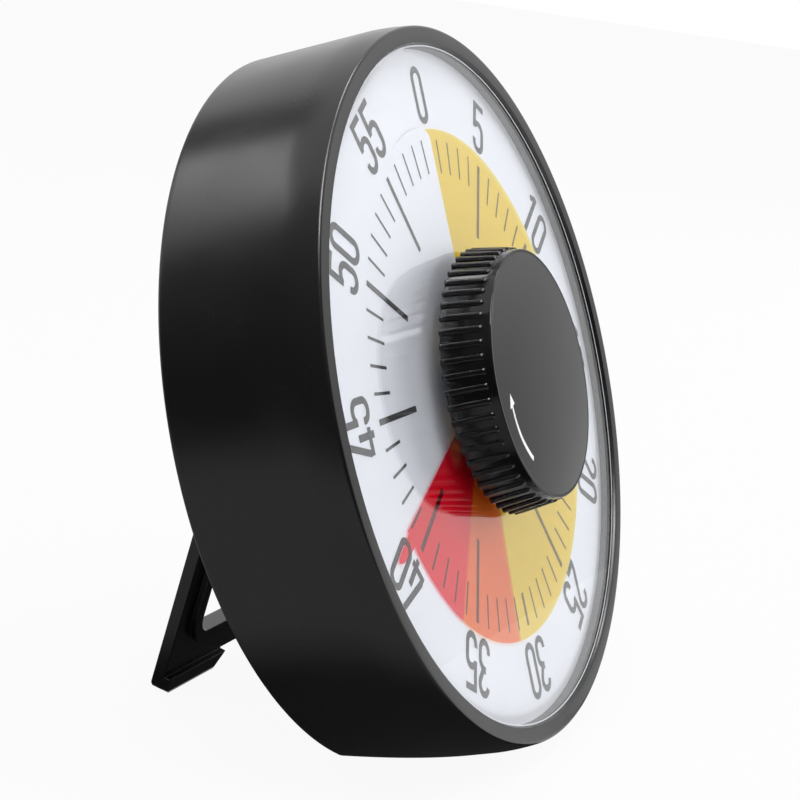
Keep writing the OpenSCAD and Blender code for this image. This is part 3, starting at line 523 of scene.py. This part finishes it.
# %% [markdown]
# ## Stand, back cover and battery door
#
# These have the right shape already, but every edge of theirs is razor sharp. A
# real moulding never is: its edges are rounded by a few tenths of a millimetre,
# and each catches a thin line of light. A merged copy of the CAD mesh with a
# small Bevel gives those lines. Weighted normals keep the large faces flat, so
# that only the narrow rounded strips bend the light.


# %% A copy of a CAD piece with rounded edges
SHARP_FROM, FLAT_WITHIN, EDGE_STEPS, SAME_CORNER = math.radians(38), math.radians(0.4), 2, 1e-6
NO_SHARP_EDGES, FACE_WEIGHT = 180, 80


def softened_copy(node, name, body, material, width_mm):
    mesh = nodes[node].data.copy()
    work = bmesh.new()
    work.from_mesh(mesh)
    bmesh.ops.remove_doubles(work, verts=work.verts, dist=SAME_CORNER)
    bmesh.ops.dissolve_limit(
        work, angle_limit=FLAT_WITHIN, use_dissolve_boundaries=False, verts=work.verts, edges=work.edges
    )
    work.to_mesh(mesh)
    work.free()
    mesh.materials.clear()
    mesh.materials.append(material)
    made = shown(name, mesh, NO_SHARP_EDGES)
    edge = made.modifiers.new("edges", "BEVEL")
    edge.width = width_mm * MM
    edge.segments = EDGE_STEPS
    edge.limit_method = "ANGLE"
    edge.angle_limit = SHARP_FROM
    edge.use_clamp_overlap = False
    made.modifiers.new("normals", "WEIGHTED_NORMAL").weight = FACE_WEIGHT
    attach(made, body)
    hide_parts(node)


softened_copy("kickstand", "folding_stand", "stand", case_abs, 0.25)
softened_copy("back_cover", "rear_cover", "drum", case_abs, 0.12)
softened_copy("battery_door", "battery_hatch", "door", case_abs, 0.12)

# %% [markdown]
# ## What repeats: one Geometry Nodes tree
#
# The minute marks and the knob's ribs are the same thing, copies set round the
# shaft. One node tree does it for all of them. It makes a row of points, gives
# each an angle, stands a copy on each and turns it there. Marks are left out by
# counting them in groups with a gap after each group, and the marks climb with
# the dial, so the tree also takes a rise per turn. The sums are written as a
# table, in which each row names its result for the rows below it.


# %% Inputs and sums of the tree "copies round the shaft"
COPY_INPUTS = {
    "Copy": ("NodeSocketObject", None),
    "Number of copies": ("NodeSocketInt", 12),
    "First angle": ("NodeSocketFloat", 0.0),
    "Step angle": ("NodeSocketFloat", 30.0),
    "Copies in a group": ("NodeSocketInt", 1000),
    "Extra angle after a group": ("NodeSocketFloat", 0.0),
    "Rise in a turn": ("NodeSocketFloat", 0.0),
    "Material": ("NodeSocketMaterial", None),
}
COPY_SUMS = [
    ("groups", "DIVIDE", "index", "Copies in a group"),
    ("whole groups", "FLOOR", "groups", 0.0),
    ("steps", "MULTIPLY", "index", "Step angle"),
    ("even angle", "ADD", "First angle", "steps"),
    ("gaps", "MULTIPLY", "whole groups", "Extra angle after a group"),
    ("angle", "ADD", "even angle", "gaps"),
    ("turns", "DIVIDE", "angle", 360.0),
    ("climb", "MULTIPLY", "turns", "Rise in a turn"),
    ("radians", "RADIANS", "angle", 0.0),
    ("clockwise", "MULTIPLY", "radians", -1.0),
]
print("inputs:", len(COPY_INPUTS), "sums:", len(COPY_SUMS))


# %% Build the tree
def copies_tree():
    tree = bpy.data.node_groups.new("copies_round_the_shaft", "GeometryNodeTree")
    for name, (kind, value) in COPY_INPUTS.items():
        socket = tree.interface.new_socket(name=name, in_out="INPUT", socket_type=kind)
        if value is not None:
            socket.default_value = value
    tree.interface.new_socket(name="Geometry", in_out="OUTPUT", socket_type="NodeSocketGeometry")
    known = {socket.name: socket for socket in add_node(tree, "NodeGroupInput").outputs}
    known["index"] = add_node(tree, "GeometryNodeInputIndex").outputs["Index"]
    for result, operation, a, b in COPY_SUMS:
        inputs = {0: known.get(a, a), 1: known.get(b, b)}
        known[result] = add_node(tree, "ShaderNodeMath", inputs, operation=operation).outputs["Value"]
    at = add_node(tree, "ShaderNodeCombineXYZ", {"Z": known["climb"]}).outputs["Vector"]
    turn = add_node(tree, "ShaderNodeCombineXYZ", {"Z": known["clockwise"]}).outputs["Vector"]
    points = add_node(tree, "GeometryNodePoints", {"Count": known["Number of copies"], "Position": at})
    shape = add_node(tree, "GeometryNodeObjectInfo", {"Object": known["Copy"]})
    placing = {"Points": points.outputs[0], "Instance": shape.outputs["Geometry"], "Rotation": turn}
    copies = add_node(tree, "GeometryNodeInstanceOnPoints", placing)
    real = add_node(tree, "GeometryNodeRealizeInstances", {"Geometry": copies.outputs["Instances"]})
    joined = add_node(tree, "GeometryNodeMergeByDistance", {"Geometry": real.outputs[0], "Distance": 1e-6})
    paint = {"Geometry": joined.outputs[0], "Material": known["Material"]}
    painted = add_node(tree, "GeometryNodeSetMaterial", paint)
    add_node(tree, "NodeGroupOutput", {"Geometry": painted.outputs[0]})
    return tree


copies_group = copies_tree()


# %% Run the tree on one shape and keep the result as a plain mesh
def copies_of(name, points, faces, material, sharp_degrees=35, **sizes):
    shape = bpy.data.meshes.new(name + "_copy")
    shape.from_pydata([Vector(point) * MM for point in points], [], faces)
    shape.shade_smooth()
    one = placed(name + "_copy", shape)
    holder = placed(name + "_holder", bpy.data.meshes.new(name + "_holder"))
    pattern = holder.modifiers.new("copies", "NODES")
    pattern.node_group = copies_group
    inputs = {"Copy": one, "Material": material, **{key.replace("_", " "): sizes[key] for key in sizes}}
    for socket in copies_group.interface.items_tree:
        if socket.in_out == "INPUT" and socket.name in inputs:
            pattern[socket.identifier] = inputs[socket.name]
    depsgraph = bpy.context.evaluated_depsgraph_get()
    mesh = bpy.data.meshes.new_from_object(holder.evaluated_get(depsgraph))
    mesh.name = name
    mesh.transform(DRUM_PLACE)
    for each in (one, holder):
        bpy.data.objects.remove(each)
    return shown(name, mesh, sharp_degrees)


# %% [markdown]
# ## The knob
#
# The knob is a hollow cap with 56 ribs for the fingers. Its wall leans inwards
# towards the face, as a moulded cap must to leave its mould. Each rib is a round
# ridge with a flat valley as wide as itself beside it, and ends in a dome two
# millimetres short of the face. One sector of the knob, a single rib with half a
# valley on each side, is drawn as a curved strip, and the tree sets 56 of them
# edge to edge.

# %% Section of the knob: stem, hollow, leaning wall, face and bore
RIB_COUNT, RIB_HEIGHT, RIB_HALF, RIB_END, RIB_R = 56, 0.8, 0.85, 11.3, 31.1
KNOB_LOW, KNOB_FACE, STEM_LOW, FACE_ROUND = 1.05, 13.2, -1.5, 0.26
HOLLOW_R, HOLLOW_TOP, POCKET_R, POCKET_FLOOR = 29.3, 10.2, 29.52, 12.2
WALL_R, WALL_LEAN, WALL_FROM = 32.0, 0.148, 30.2


def wall_r(z):
    return WALL_R - WALL_LEAN * (z - KNOB_LOW)


knob_section = [(5.0, STEM_LOW), (5.0, HOLLOW_TOP), (HOLLOW_R, HOLLOW_TOP), (HOLLOW_R, KNOB_LOW)]
knob_section += [(31.6, KNOB_LOW), (31.9, KNOB_LOW + 0.1)]
rib_heights = [KNOB_LOW + 0.4] + list(np.linspace(2.5, 9.8, 6))
rib_heights += [RIB_END - RIB_HALF * t for t in (1.0, 0.8, 0.62, 0.45, 0.3, 0.18, 0.08, 0.02, 0.0)]
knob_section += [(wall_r(z), z) for z in rib_heights + [11.7, 12.2, 12.6]]
knob_section += rounding(wall_r(12.92) - FACE_ROUND, KNOB_FACE - FACE_ROUND, FACE_ROUND, 0, 90, 6)
knob_section += [(29.57, KNOB_FACE), (29.53, 13.18), (POCKET_R, 13.14), (POCKET_R, POCKET_FLOOR)]
knob_section += [(2.9, POCKET_FLOOR), (2.9, 9.6), (2.6, 9.6), (2.6, STEM_LOW)]
print("points round the section:", len(knob_section))

# %% One sector with its rib, and the tree sets the others beside it
# Ribs lose height towards the face, and each ends in a round dome
RIB_SHRINK, DOME_SIDE, DOME_TOP, FIRST_RIB = 0.03, 2.6, 0.55, 0.43
sector = 360 / RIB_COUNT
across = [-1.0, -0.98, -0.92, -0.8, -0.62, -0.4, -0.14, 0.14, 0.4, 0.62, 0.8, 0.92, 0.98, 1.0]
rib_turns = [-sector / 2] + [math.degrees(RIB_HALF * u / RIB_R) for u in across] + [sector / 2]


def rib_rise(turn, z):
    if not KNOB_LOW - 0.01 < z < RIB_END:
        return 0
    away = math.hypot(math.radians(turn) * RIB_R, max(0, z - (RIB_END - RIB_HALF))) / RIB_HALF
    return RIB_HEIGHT * (1 - RIB_SHRINK * (z - KNOB_LOW)) * max(0, 1 - away**DOME_SIDE) ** DOME_TOP


knob_points = []
for turn in rib_turns:
    for r, z in knob_section:
        r += rib_rise(turn, z) if r > WALL_FROM else 0
        knob_points.append((r * math.sin(math.radians(turn)), r * math.cos(math.radians(turn)), z))
knob_faces = grid_faces(len(rib_turns), len(knob_section), columns_closed=True)
ribbed_knob = copies_of(
    "ribbed_knob", knob_points, knob_faces, knob_abs, 40,
    Number_of_copies=RIB_COUNT, First_angle=FIRST_RIB * sector, Step_angle=sector,
)
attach(ribbed_knob, "knob")
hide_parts("knob")

# %% [markdown]
# The insert in the knob's face is a disc with a slightly broken edge. A white
# arrow printed near its left edge shows which way the knob is turned to set the
# time. It is a ribbon that follows a curve and ends in a pointed head.


# %% Face insert
def spun(name, section, steps=192):
    turns = [2 * math.pi * i / steps for i in range(steps)]
    points = [(r * math.sin(turn), r * math.cos(turn), z) for turn in turns for r, z in section]
    return piece_from(name, points, grid_faces(steps, len(section), rows_closed=True, columns_closed=True))


insert_section = [(0.02, 12.25), (0.02, KNOB_FACE), (29.4, KNOB_FACE), (29.46, 13.19), (29.49, 13.15), (29.5, 12.25)]
knob_insert = spun("knob_insert", insert_section)
knob_insert.data.materials.append(cap_abs)
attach(knob_insert, "knob")
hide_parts("knob_cap")


# %% Ribbons: flat strokes along a path, of one width or a width at each point
# Keeps the outer corner of a sharp bend from running away
SHARPEST_BEND = 0.35


def ribbon(path, width, closed=False):
    path = [Vector(point) for point in path]
    count = len(path)
    points = []
    for i, here in enumerate(path):
        before = path[(i - 1) % count] if closed or i > 0 else None
        after = path[(i + 1) % count] if closed or i < count - 1 else None
        arriving = (here - before).normalized() if before else (after - here).normalized()
        leaving = (after - here).normalized() if after else arriving
        side = Vector((-(arriving.y + leaving.y), arriving.x + leaving.x)).normalized()
        square = Vector((-arriving.y, arriving.x))
        reach = (width[i] if isinstance(width, list) else width) / 2 / max(side.dot(square), SHARPEST_BEND)
        points += [here + side * reach, here - side * reach]
    faces = [(2 * i, 2 * i + 1, 2 * i + 3, 2 * i + 2) for i in range(count - 1)]
    if closed:
        faces.append((2 * count - 2, 2 * count - 1, 1, 0))
    return points, faces


# %% The arrow, by its places on the dial: clockwise angle and radius
def on_dial(degrees, r):
    return Vector((r * math.sin(math.radians(degrees)), r * math.cos(math.radians(degrees))))


ARROW_STEPS, ARROW_WIDE, ARROW_NARROW_BY = 14, 1.25, 0.45
ARROW_LIFT, HEAD_LIFT = 0.02, 0.024
# The shaft keeps one radius, then bends inwards over its last degrees
ARROW_R, BEND_FROM, BEND_ANGLE, BEND_IN = 24.8, 236, 23, 1.1
arrow_turns = np.linspace(222.8, 258.6, ARROW_STEPS + 1)
arrow_radii = [ARROW_R - BEND_IN * max(0, (angle - BEND_FROM) / BEND_ANGLE) ** 1.6 for angle in arrow_turns]
shaft_path = [on_dial(angle, r) for angle, r in zip(arrow_turns, arrow_radii)]
shaft_widths = [ARROW_WIDE - ARROW_NARROW_BY * i / ARROW_STEPS for i in range(ARROW_STEPS + 1)]
shaft_points, arrow_faces = ribbon(shaft_path, shaft_widths)
head = [on_dial(265.9, 23.3), on_dial(258.2, 25.35), on_dial(259.0, 22.1)]
arrow_faces.append(tuple(len(shaft_points) + i for i in range(len(head))))
arrow_points = [(point.x, point.y, KNOB_FACE + ARROW_LIFT) for point in shaft_points]
arrow_points += [(point.x, point.y, KNOB_FACE + HEAD_LIFT) for point in head]
turn_arrow = piece_from("turn_arrow", arrow_points, arrow_faces, outwards=False)


# %% Turn every face of a print towards the viewer
def face_viewer(made):
    out = DRUM_PLACE.to_3x3() @ Vector((0, 0, 1))
    work = bmesh.new()
    work.from_mesh(made.data)
    bmesh.ops.reverse_faces(work, faces=[face for face in work.faces if face.normal.dot(out) < 0])
    work.to_mesh(made.data)
    work.free()


face_viewer(turn_arrow)
turn_arrow.data.materials.append(arrow_ink)
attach(turn_arrow, "knob")

# %% [markdown]
# ## The dial
#
# The dial is a white sheet that climbs 1.35 mm in one turn, like a very flat
# spiral stair with a single step at the 0 mark. The film's tail dives under the
# sheet through the slit at that step. Under the numbers the sheet climbs too,
# but there it comes down again gently before the 0, so that no step shows.
#
# Ramp and rim are two grids of points round the shaft. The ramp stops short of
# the slit and leaves a notch at its outer end, through which the film's red tip
# swings. Its outer edge hangs down as a skirt, so that no light comes up between
# ramp and rim. The rim goes all the way round, and a small lip closes the notch.

# %% Height of the dial at any place
DIAL_TOP, RAMP_RISE, SHEET = -5.0, 1.35, 0.5
RAMP_R, SLIT_HALF = 63.6, 0.4
# The rim comes down between these angles, and between these radii
DOWN_FROM, DOWN_TO, LEVEL_FROM_R, LEVEL_R = 335, 356, 79.5, 82.4


def between(value, low, high):
    share = min(max((value - low) / (high - low), 0), 1)
    return share * share * (3 - 2 * share)


def dial_height(degrees, r):
    climb = RAMP_RISE * degrees / 360
    if r > RAMP_R:
        climb *= between(degrees, DOWN_TO, DOWN_FROM) * between(r, LEVEL_R, LEVEL_FROM_R)
    return DIAL_TOP + climb


# %% The ramp, the rim round it and the lip that closes the notch
NOTCH, SKIRT_R, SKIRT_DROP = 3.8, 63.2, 0.2
# Radii of the ramp, each with the angle by which the ramp stops short there
ramp_ends = [(14.6, 0), (60.9, 0), (62.79, 1.68), (63.4, NOTCH), (RAMP_R, NOTCH)]
rim_radii = [63.61, 64.1, 66, 69, 72, 75, 77.5, LEVEL_FROM_R, 80.3, 81.0, 81.7, LEVEL_R, 84.7]
LIP_FROM, LIP_TURN, LIP_RADII, LIP_DROP = 354.6, 6.2, (62.7, 64.4), 0.03


def ramp_column(share):
    top = []
    for r, cut in ramp_ends:
        turn = SLIT_HALF + (360 - 2 * SLIT_HALF - cut) * share
        top.append((turn, r, dial_height(turn, r)))
    skirt = [(turn, r, DIAL_TOP - SKIRT_DROP) for r in (RAMP_R, SKIRT_R)]
    return top + skirt + [(turn, min(r, SKIRT_R), z - SHEET) for turn, r, z in reversed(top[:-1])]


def rim_column(share):
    top = [(360 * share, r, dial_height(360 * share, r)) for r in rim_radii]
    return top + [(turn, r, DIAL_TOP - SHEET) for turn, r, _ in reversed(top)]


def lip_column(share):
    return [(LIP_FROM + LIP_TURN * share, r, DIAL_TOP - LIP_DROP) for r in LIP_RADII]


# %% Join the three into one sheet
SHEET_PARTS = [(ramp_column, 360, True), (rim_column, 360, True), (lip_column, 12, False)]
sheet_points, sheet_faces = [], []
for column_at, steps, closed in SHEET_PARTS:
    first = len(sheet_points)
    columns = [column_at(step / steps) for step in range(steps + 1)]
    sheet_points += [(*on_dial(turn, r), z) for column in columns for turn, r, z in column]
    grid = grid_faces(steps + 1, len(columns[0]), columns_closed=closed)
    sheet_faces += [tuple(first + corner for corner in face) for face in grid]
dial_sheet = piece_from("dial_sheet", sheet_points, sheet_faces, 30)
dial_sheet.data.materials.append(dial_white)
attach(dial_sheet, "drum")
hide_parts("dial_plate")

# %% [markdown]
# The window is a plate with a cut edge. Light that travels inside a clear plate
# comes out at its edge, so that edge shows as a thin bright line all the way
# round, at the foot of the bezel's inner wall. Here that line is a painted
# highlight: a thin ring, pale in colour, laid on the window's edge.

# %% The window's bright edge, a ring with a painted highlight
edge_section = [(82.5, -0.985), (82.56, -0.93), (82.7, -0.9), (82.84, -0.93), (82.9, -0.985)]
window_edge = spun("window_edge", edge_section, 360)
window_edge.data.materials.append(lens_edge_highlight_paint)
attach(window_edge, "drum")

# %% [markdown]
# ## Minute marks
#
# Sixty minutes go round the dial, with a longer, bolder mark each five minutes.
# They are printed on the ramp, so they climb with it.

# %% Marks on the ramp
INK_LIFT, MARK_OUT, SHORT_IN, LONG_IN, MARK_ROWS = 0.03, 60.5, 52.3, 39.9, 4
# Width, inner end, number, first and step angle, group and extra angle after it
MARKS = {
    "minute_marks": (0.74, SHORT_IN, 48, 6.0, 6.0, 4, 6.0),
    "five_minute_marks": (1.45, LONG_IN, 10, 30.0, 30.0, 5, 30.0),
    "half_hour_mark": (1.3, SHORT_IN, 1, 180.0, 0.0, 1, 0.0),
}


def mark(r_in, r_out, width):
    rows = [r_in + (r_out - r_in) * i / (MARK_ROWS - 1) for i in range(MARK_ROWS)]
    points = [(side * width / 2, r, DIAL_TOP + INK_LIFT) for r in rows for side in (1, -1)]
    return points, grid_faces(MARK_ROWS, 2)


for name, (width, inner, number, first_angle, step_angle, group, extra) in MARKS.items():
    marks = copies_of(
        name, *mark(inner, MARK_OUT, width), dial_ink,
        Number_of_copies=number, First_angle=first_angle, Step_angle=step_angle,
        Copies_in_a_group=group, Extra_angle_after_a_group=extra, Rise_in_a_turn=RAMP_RISE * MM,
    )
    face_viewer(marks)
    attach(marks, "drum")

# %% [markdown]
# ## Numbers
#
# The numbers are plain narrow figures, 14 mm high, whose strokes all have one
# width. Each figure is written as the path that a broad pen would follow, and
# the ribbon helper from the arrow turns the path into a stroke. Long strokes get
# points in between, so that the print can follow the climbing sheet.

# %% Figures as pen paths, in millimetres from the middle of the figure
HALF_W, HALF_H, STROKE = 2.3, 6.28, 1.65


def bowl(y, start, end, steps=12):
    return rounding(0.0, y, HALF_W, start, end, steps)


RING = HALF_H - HALF_W
FIGURES = {
    "0": [(bowl(RING, 0, 180) + bowl(-RING, 180, 360), True)],
    "1": [([(0.4, 7.1), (0.4, -7.1)], False), ([(0.35, 6.55), (-2.35, 4.25)], False)],
    "2": [(bowl(RING, 188, -28) + [(0.55, 0.2), (-1.75, -4.1), (-2.15, -6.2)], False),
          ([(-2.95, -HALF_H), (2.95, -HALF_H)], False)],
    "3": [(bowl(RING, 172, -42) + [(0.75, 0.75), (-0.85, 0.45)], False),
          ([(-0.85, 0.45), (0.9, 0.1)] + bowl(-2.1, 38, 0, steps=4) + bowl(-RING, 0, -190), False)],
    "4": [([(0.75, 7.1), (-2.45, -4.1)], False), ([(-3.0, -4.85), (3.3, -4.85)], False),
          ([(1.5, 0.7), (1.5, -7.1)], False)],
    "5": [([(-2.2, 7.1), (-2.2, -0.4)], False), ([(-3.0, HALF_H), (2.75, HALF_H)], False),
          ([(-2.25, 0.2), (-1.3, 1.0), (-0.3, 1.3)] + bowl(-0.95, 78, 0, steps=6) + bowl(-RING, 0, -192), False)],
}

# %% Points in between, on long strokes
LONGEST_STEP = 0.7


def finer(path, closed):
    corners = [Vector(point) for point in path] + ([Vector(path[0])] if closed else [])
    made = [corners[0]]
    for start, end in zip(corners, corners[1:]):
        parts = max(1, math.ceil((end - start).length / LONGEST_STEP))
        made += [start.lerp(end, (i + 1) / parts) for i in range(parts)]
    return made[:-1] if closed else made


# %% Set the numbers round the dial
# Strokes that cross lie on layers of ink, a hair's breadth one above the other
NUMBER_R, FIGURE_PITCH, NUMBER_LIFT, INK_LAYER = 71.3, 7.1, 0.05, 0.004
# How far each number sits clockwise of its mark, and how far inwards
NUMBERS = {
    0: (1.5, 0), 5: (-0.4, 0), 10: (0.5, 0), 15: (0.0, 0), 20: (-1.5, 0), 25: (-0.2, 0.4),
    30: (-0.6, 0), 35: (-0.3, 1.0), 40: (2.0, 0.4), 45: (0.3, 0), 50: (0.9, 0), 55: (0.2, 0),
}
number_points, number_faces = [], []
for minute, (shift, inwards) in NUMBERS.items():
    outward, sideways = on_dial(minute * 6, 1), on_dial(minute * 6 + 90, 1)
    text = str(minute)
    for place, figure in enumerate(text):
        middle = shift + (place - (len(text) - 1) / 2) * FIGURE_PITCH
        for layer, (path, closed) in enumerate(FIGURES[figure]):
            points, faces = ribbon(finer(path, closed), STROKE, closed)
            first = len(number_points)
            for point in points:
                flat = outward * (NUMBER_R - inwards + point.y) + sideways * (middle + point.x)
                height = dial_height(math.degrees(math.atan2(flat.x, flat.y)) % 360, max(flat.length, rim_radii[1]))
                number_points.append((flat.x, flat.y, height + NUMBER_LIFT + INK_LAYER * layer))
            number_faces += [tuple(first + corner for corner in face) for face in faces]
dial_numbers = piece_from("dial_numbers", number_points, number_faces, outwards=False)
face_viewer(dial_numbers)
dial_numbers.data.materials.append(dial_ink)
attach(dial_numbers, "drum")

# %% [markdown]
# ## Camera, floor and light
#
# The camera looks from the left, a little above the table, and slightly rolled.
# The floor and the room are white wherever they are seen, straight or in a
# mirror, and the floor keeps the object's shadow. Glossy black plastic has no
# look of its own: it shows what it mirrors. So paper screens stand round it. A
# black one on the left keeps the drum's wall black, a bright one high up behind
# it draws the soft streak along the wall, with a dark gap beside it, and a grey
# one on the right lowers the veil on the window. Two bright strips overhead put
# the fine lights on the edges of bezel and knob. Dark sheets on the floor, seen
# only in mirrors, keep the underside black: they are painted shade, the drum's
# shadow on the floor put back for the mirrors, which see the floor white. Two
# soft boxes light the dial and lay the soft shadow on the table.

# %% Camera, by its place and its axes in the drum's frame
SENSOR_MM, LENS_MM, NEAREST, FARTHEST = 36, 95.24, 0.01, 20
CAMERA_PLACE = Vector((-474.7, 36.0, 192.6))
camera_data = bpy.data.cameras.new("camera")
camera_data.sensor_width, camera_data.lens = SENSOR_MM, LENS_MM
camera_data.clip_start, camera_data.clip_end = NEAREST, FARTHEST
camera = placed("camera", camera_data)
right, down = Vector((0.39492, -0.20413, 0.89575)), Vector((-0.14734, -0.97645, -0.15757))
forward = Vector((0.90682, -0.06975, -0.4157))
facing = Matrix((right, -down, -forward)).transposed().to_4x4()
camera.matrix_world = DRUM_PLACE @ Matrix.Translation(CAMERA_PLACE * MM) @ facing
bpy.context.scene.camera = camera
bpy.context.scene.view_settings.view_transform = "Standard"
print("camera at", [round(c, 3) for c in camera.matrix_world.translation])


# %% Floor
FLOOR_HALF, FLOOR_DROP, FLOOR_GLOW, FLOOR_GRAIN_MM = 6, 0.0002, 0.93, 4


# One for a ray from the camera, a mirror or a lens, else nought
def any_view(tree, path):
    view = path.outputs["Is Camera Ray"]
    for ray in ("Is Transmission Ray", "Is Glossy Ray"):
        view = add_node(tree, "ShaderNodeMath", {0: view, 1: path.outputs[ray]}, operation="MAXIMUM").outputs[0]
    return view


def white_floor():
    material, tree, place = new_recipe("white_table_board")
    grain = add_node(tree, "ShaderNodeTexNoise", {"Vector": place, "Scale": 1 / (FLOOR_GRAIN_MM * MM)}).outputs["Fac"]
    tone = add_node(tree, "ShaderNodeMix", {0: grain, 6: linear("#eeeeee"), 7: linear("#f2f2f2")}, data_type="RGBA")
    board = add_node(tree, "ShaderNodeBsdfDiffuse", {"Color": tone.outputs[2]}).outputs["BSDF"]
    white = add_node(tree, "ShaderNodeEmission", {"Strength": 1.0}).outputs["Emission"]
    path = add_node(tree, "ShaderNodeLightPath")
    share = add_node(tree, "ShaderNodeMath", {0: any_view(tree, path), 1: FLOOR_GLOW}, operation="MULTIPLY")
    both = add_node(tree, "ShaderNodeMixShader", {0: share.outputs["Value"], 1: board, 2: white})
    finish_material(tree, both.outputs["Shader"])
    return material


floor_mesh = bpy.data.meshes.new("floor")
corners = [(x * FLOOR_HALF, y * FLOOR_HALF, 0) for x, y in ((-1, -1), (1, -1), (1, 1), (-1, 1))]
floor_mesh.from_pydata(corners, [], [(0, 1, 2, 3)])
floor = placed("floor", floor_mesh)
floor_mesh.materials.append(white_floor())
floor.location.z = -FLOOR_DROP


# %% Room: white where it is seen, and a softer light on everything else
ROOM_LEVEL = 0.48


def room_light(level):
    world = bpy.data.worlds.new("white_room")
    bpy.context.scene.world = world
    world.use_nodes = True
    tree = world.node_tree
    tree.nodes.clear()
    path = add_node(tree, "ShaderNodeLightPath")
    strength = add_node(
        tree, "ShaderNodeMix", {0: any_view(tree, path), 2: level, 3: 1.0}, data_type="FLOAT"
    ).outputs[0]
    glow = add_node(tree, "ShaderNodeBackground", {"Color": (1, 1, 1, 1), "Strength": strength})
    add_node(tree, "ShaderNodeOutputWorld", {"Surface": glow.outputs["Background"]})


room_light(ROOM_LEVEL)
print("room light:", ROOM_LEVEL)


# %% [markdown]
# A screen is a curved sheet of paper round the object, from one compass angle to
# another. It is given as a list of levels, each with a distance, a height and a
# brightness, and shades softly from one to the next. Only mirrors see a screen,
# so it stands in nobody's light or view. A flat one lies on the floor and is
# painted shade: nearly black next to the drum, it is the drum's shadow on the
# floor as mirrors would see it, and lighter further out.


# %% A paper screen for the reflections
SCREEN_STEPS = 24


def screen(name, start, end, levels):
    points, brightness = [], []
    for i in range(SCREEN_STEPS + 1):
        turn = math.radians(start + (end - start) * i / SCREEN_STEPS)
        for distance, height, level in levels:
            points.append((distance * math.cos(turn), distance * math.sin(turn), height))
            brightness.append(level)
    mesh = bpy.data.meshes.new(name)
    mesh.from_pydata(points, [], grid_faces(SCREEN_STEPS + 1, len(levels)))
    mesh.attributes.new("level", "FLOAT", "POINT").data.foreach_set("value", brightness)
    material, tree = new_material(name + "_paper")
    level = add_node(tree, "ShaderNodeAttribute", attribute_name="level").outputs["Fac"]
    finish_material(tree, add_node(tree, "ShaderNodeEmission", {"Strength": level}).outputs["Emission"])
    mesh.materials.append(material)
    made = placed(name, mesh)
    made.visible_camera = made.visible_diffuse = made.visible_transmission = made.visible_shadow = False


# %% Stand the screens round the object and lay the sheets of painted floor shade
# Start and end angle, then distance, height and brightness of each level
SCREENS = {
    "black_screen": (123, 291, [(0.6, 0.0, 0.03), (0.6, 0.2, 0.06), (0.6, 0.5, 0.22), (0.6, 0.9, 0.25)]),
    "gap_screen": (64, 82, [(1.2, 0.6, 0.9), (1.2, 0.85, 0.2), (1.2, 1.5, 0.2)]),
    "bright_screen": (
        83, 122,
        [(1.2, 0.85, 1.2), (1.2, 1.12, 1.3), (1.2, 1.13, 7.0), (1.2, 1.2, 7.0), (1.2, 1.21, 1.3), (1.2, 1.45, 1.2)],
    ),
    "skylight_left": (192, 232, [(0.0, 1.1, 13.0), (0.6, 1.1, 13.0)]),
    "skylight_right": (-10, 30, [(0.0, 1.1, 13.0), (0.5, 1.1, 13.0)]),
    "grey_screen": (-70, 20, [(1.0, -0.02, 0.78), (1.0, 0.07, 0.58), (1.0, 0.22, 0.56), (1.0, 0.4, 1.1)]),
}
# Flat sheets seen only in mirrors: painted shade, near black where the drum's shadow falls on the floor
# Start and end angle, then distance and brightness of each level
FLOOR_SHADE_SHEETS = {
    "dark_cloth_left": (60, 262, [(0.0, 0.02), (0.078, 0.05), (0.1, 0.4), (0.3, 0.5), (0.6, 0.1)]),
    "dark_cloth_right": (-60, 60, [(0.0, 0.02), (0.084, 0.03), (0.1, 0.9)]),
}
SHADE_SHEET_HEIGHT = 0.0006
for name, (start, end, levels) in SCREENS.items():
    screen(name, start, end, levels)
for name, (start, end, levels) in FLOOR_SHADE_SHEETS.items():
    screen(name, start, end, [(distance, SHADE_SHEET_HEIGHT, level) for distance, level in levels])
print("screens:", len(SCREENS), "floor_shade_sheets:", len(FLOOR_SHADE_SHEETS))


# %% Soft boxes
def soft_box(name, place, target, width, height, watts, mirrored):
    data = bpy.data.lights.new(name, "AREA")
    data.shape, data.size, data.size_y, data.energy = "RECTANGLE", width, height, watts
    lamp = placed(name, data)
    lamp.location = place
    lamp.rotation_euler = (Vector(target) - Vector(place)).to_track_quat("-Z", "Y").to_euler()
    lamp.visible_camera = False
    lamp.visible_glossy = lamp.visible_transmission = mirrored
    print(name, "gives", watts, "W")


soft_box("top_box", (-0.25, -0.15, 1.1), (0, 0, 0.1), 0.7, 0.5, 4.0, True)
soft_box("right_box", (1.1, -0.75, 0.42), (0, 0, 0.08), 0.8, 0.8, 11.0, False)
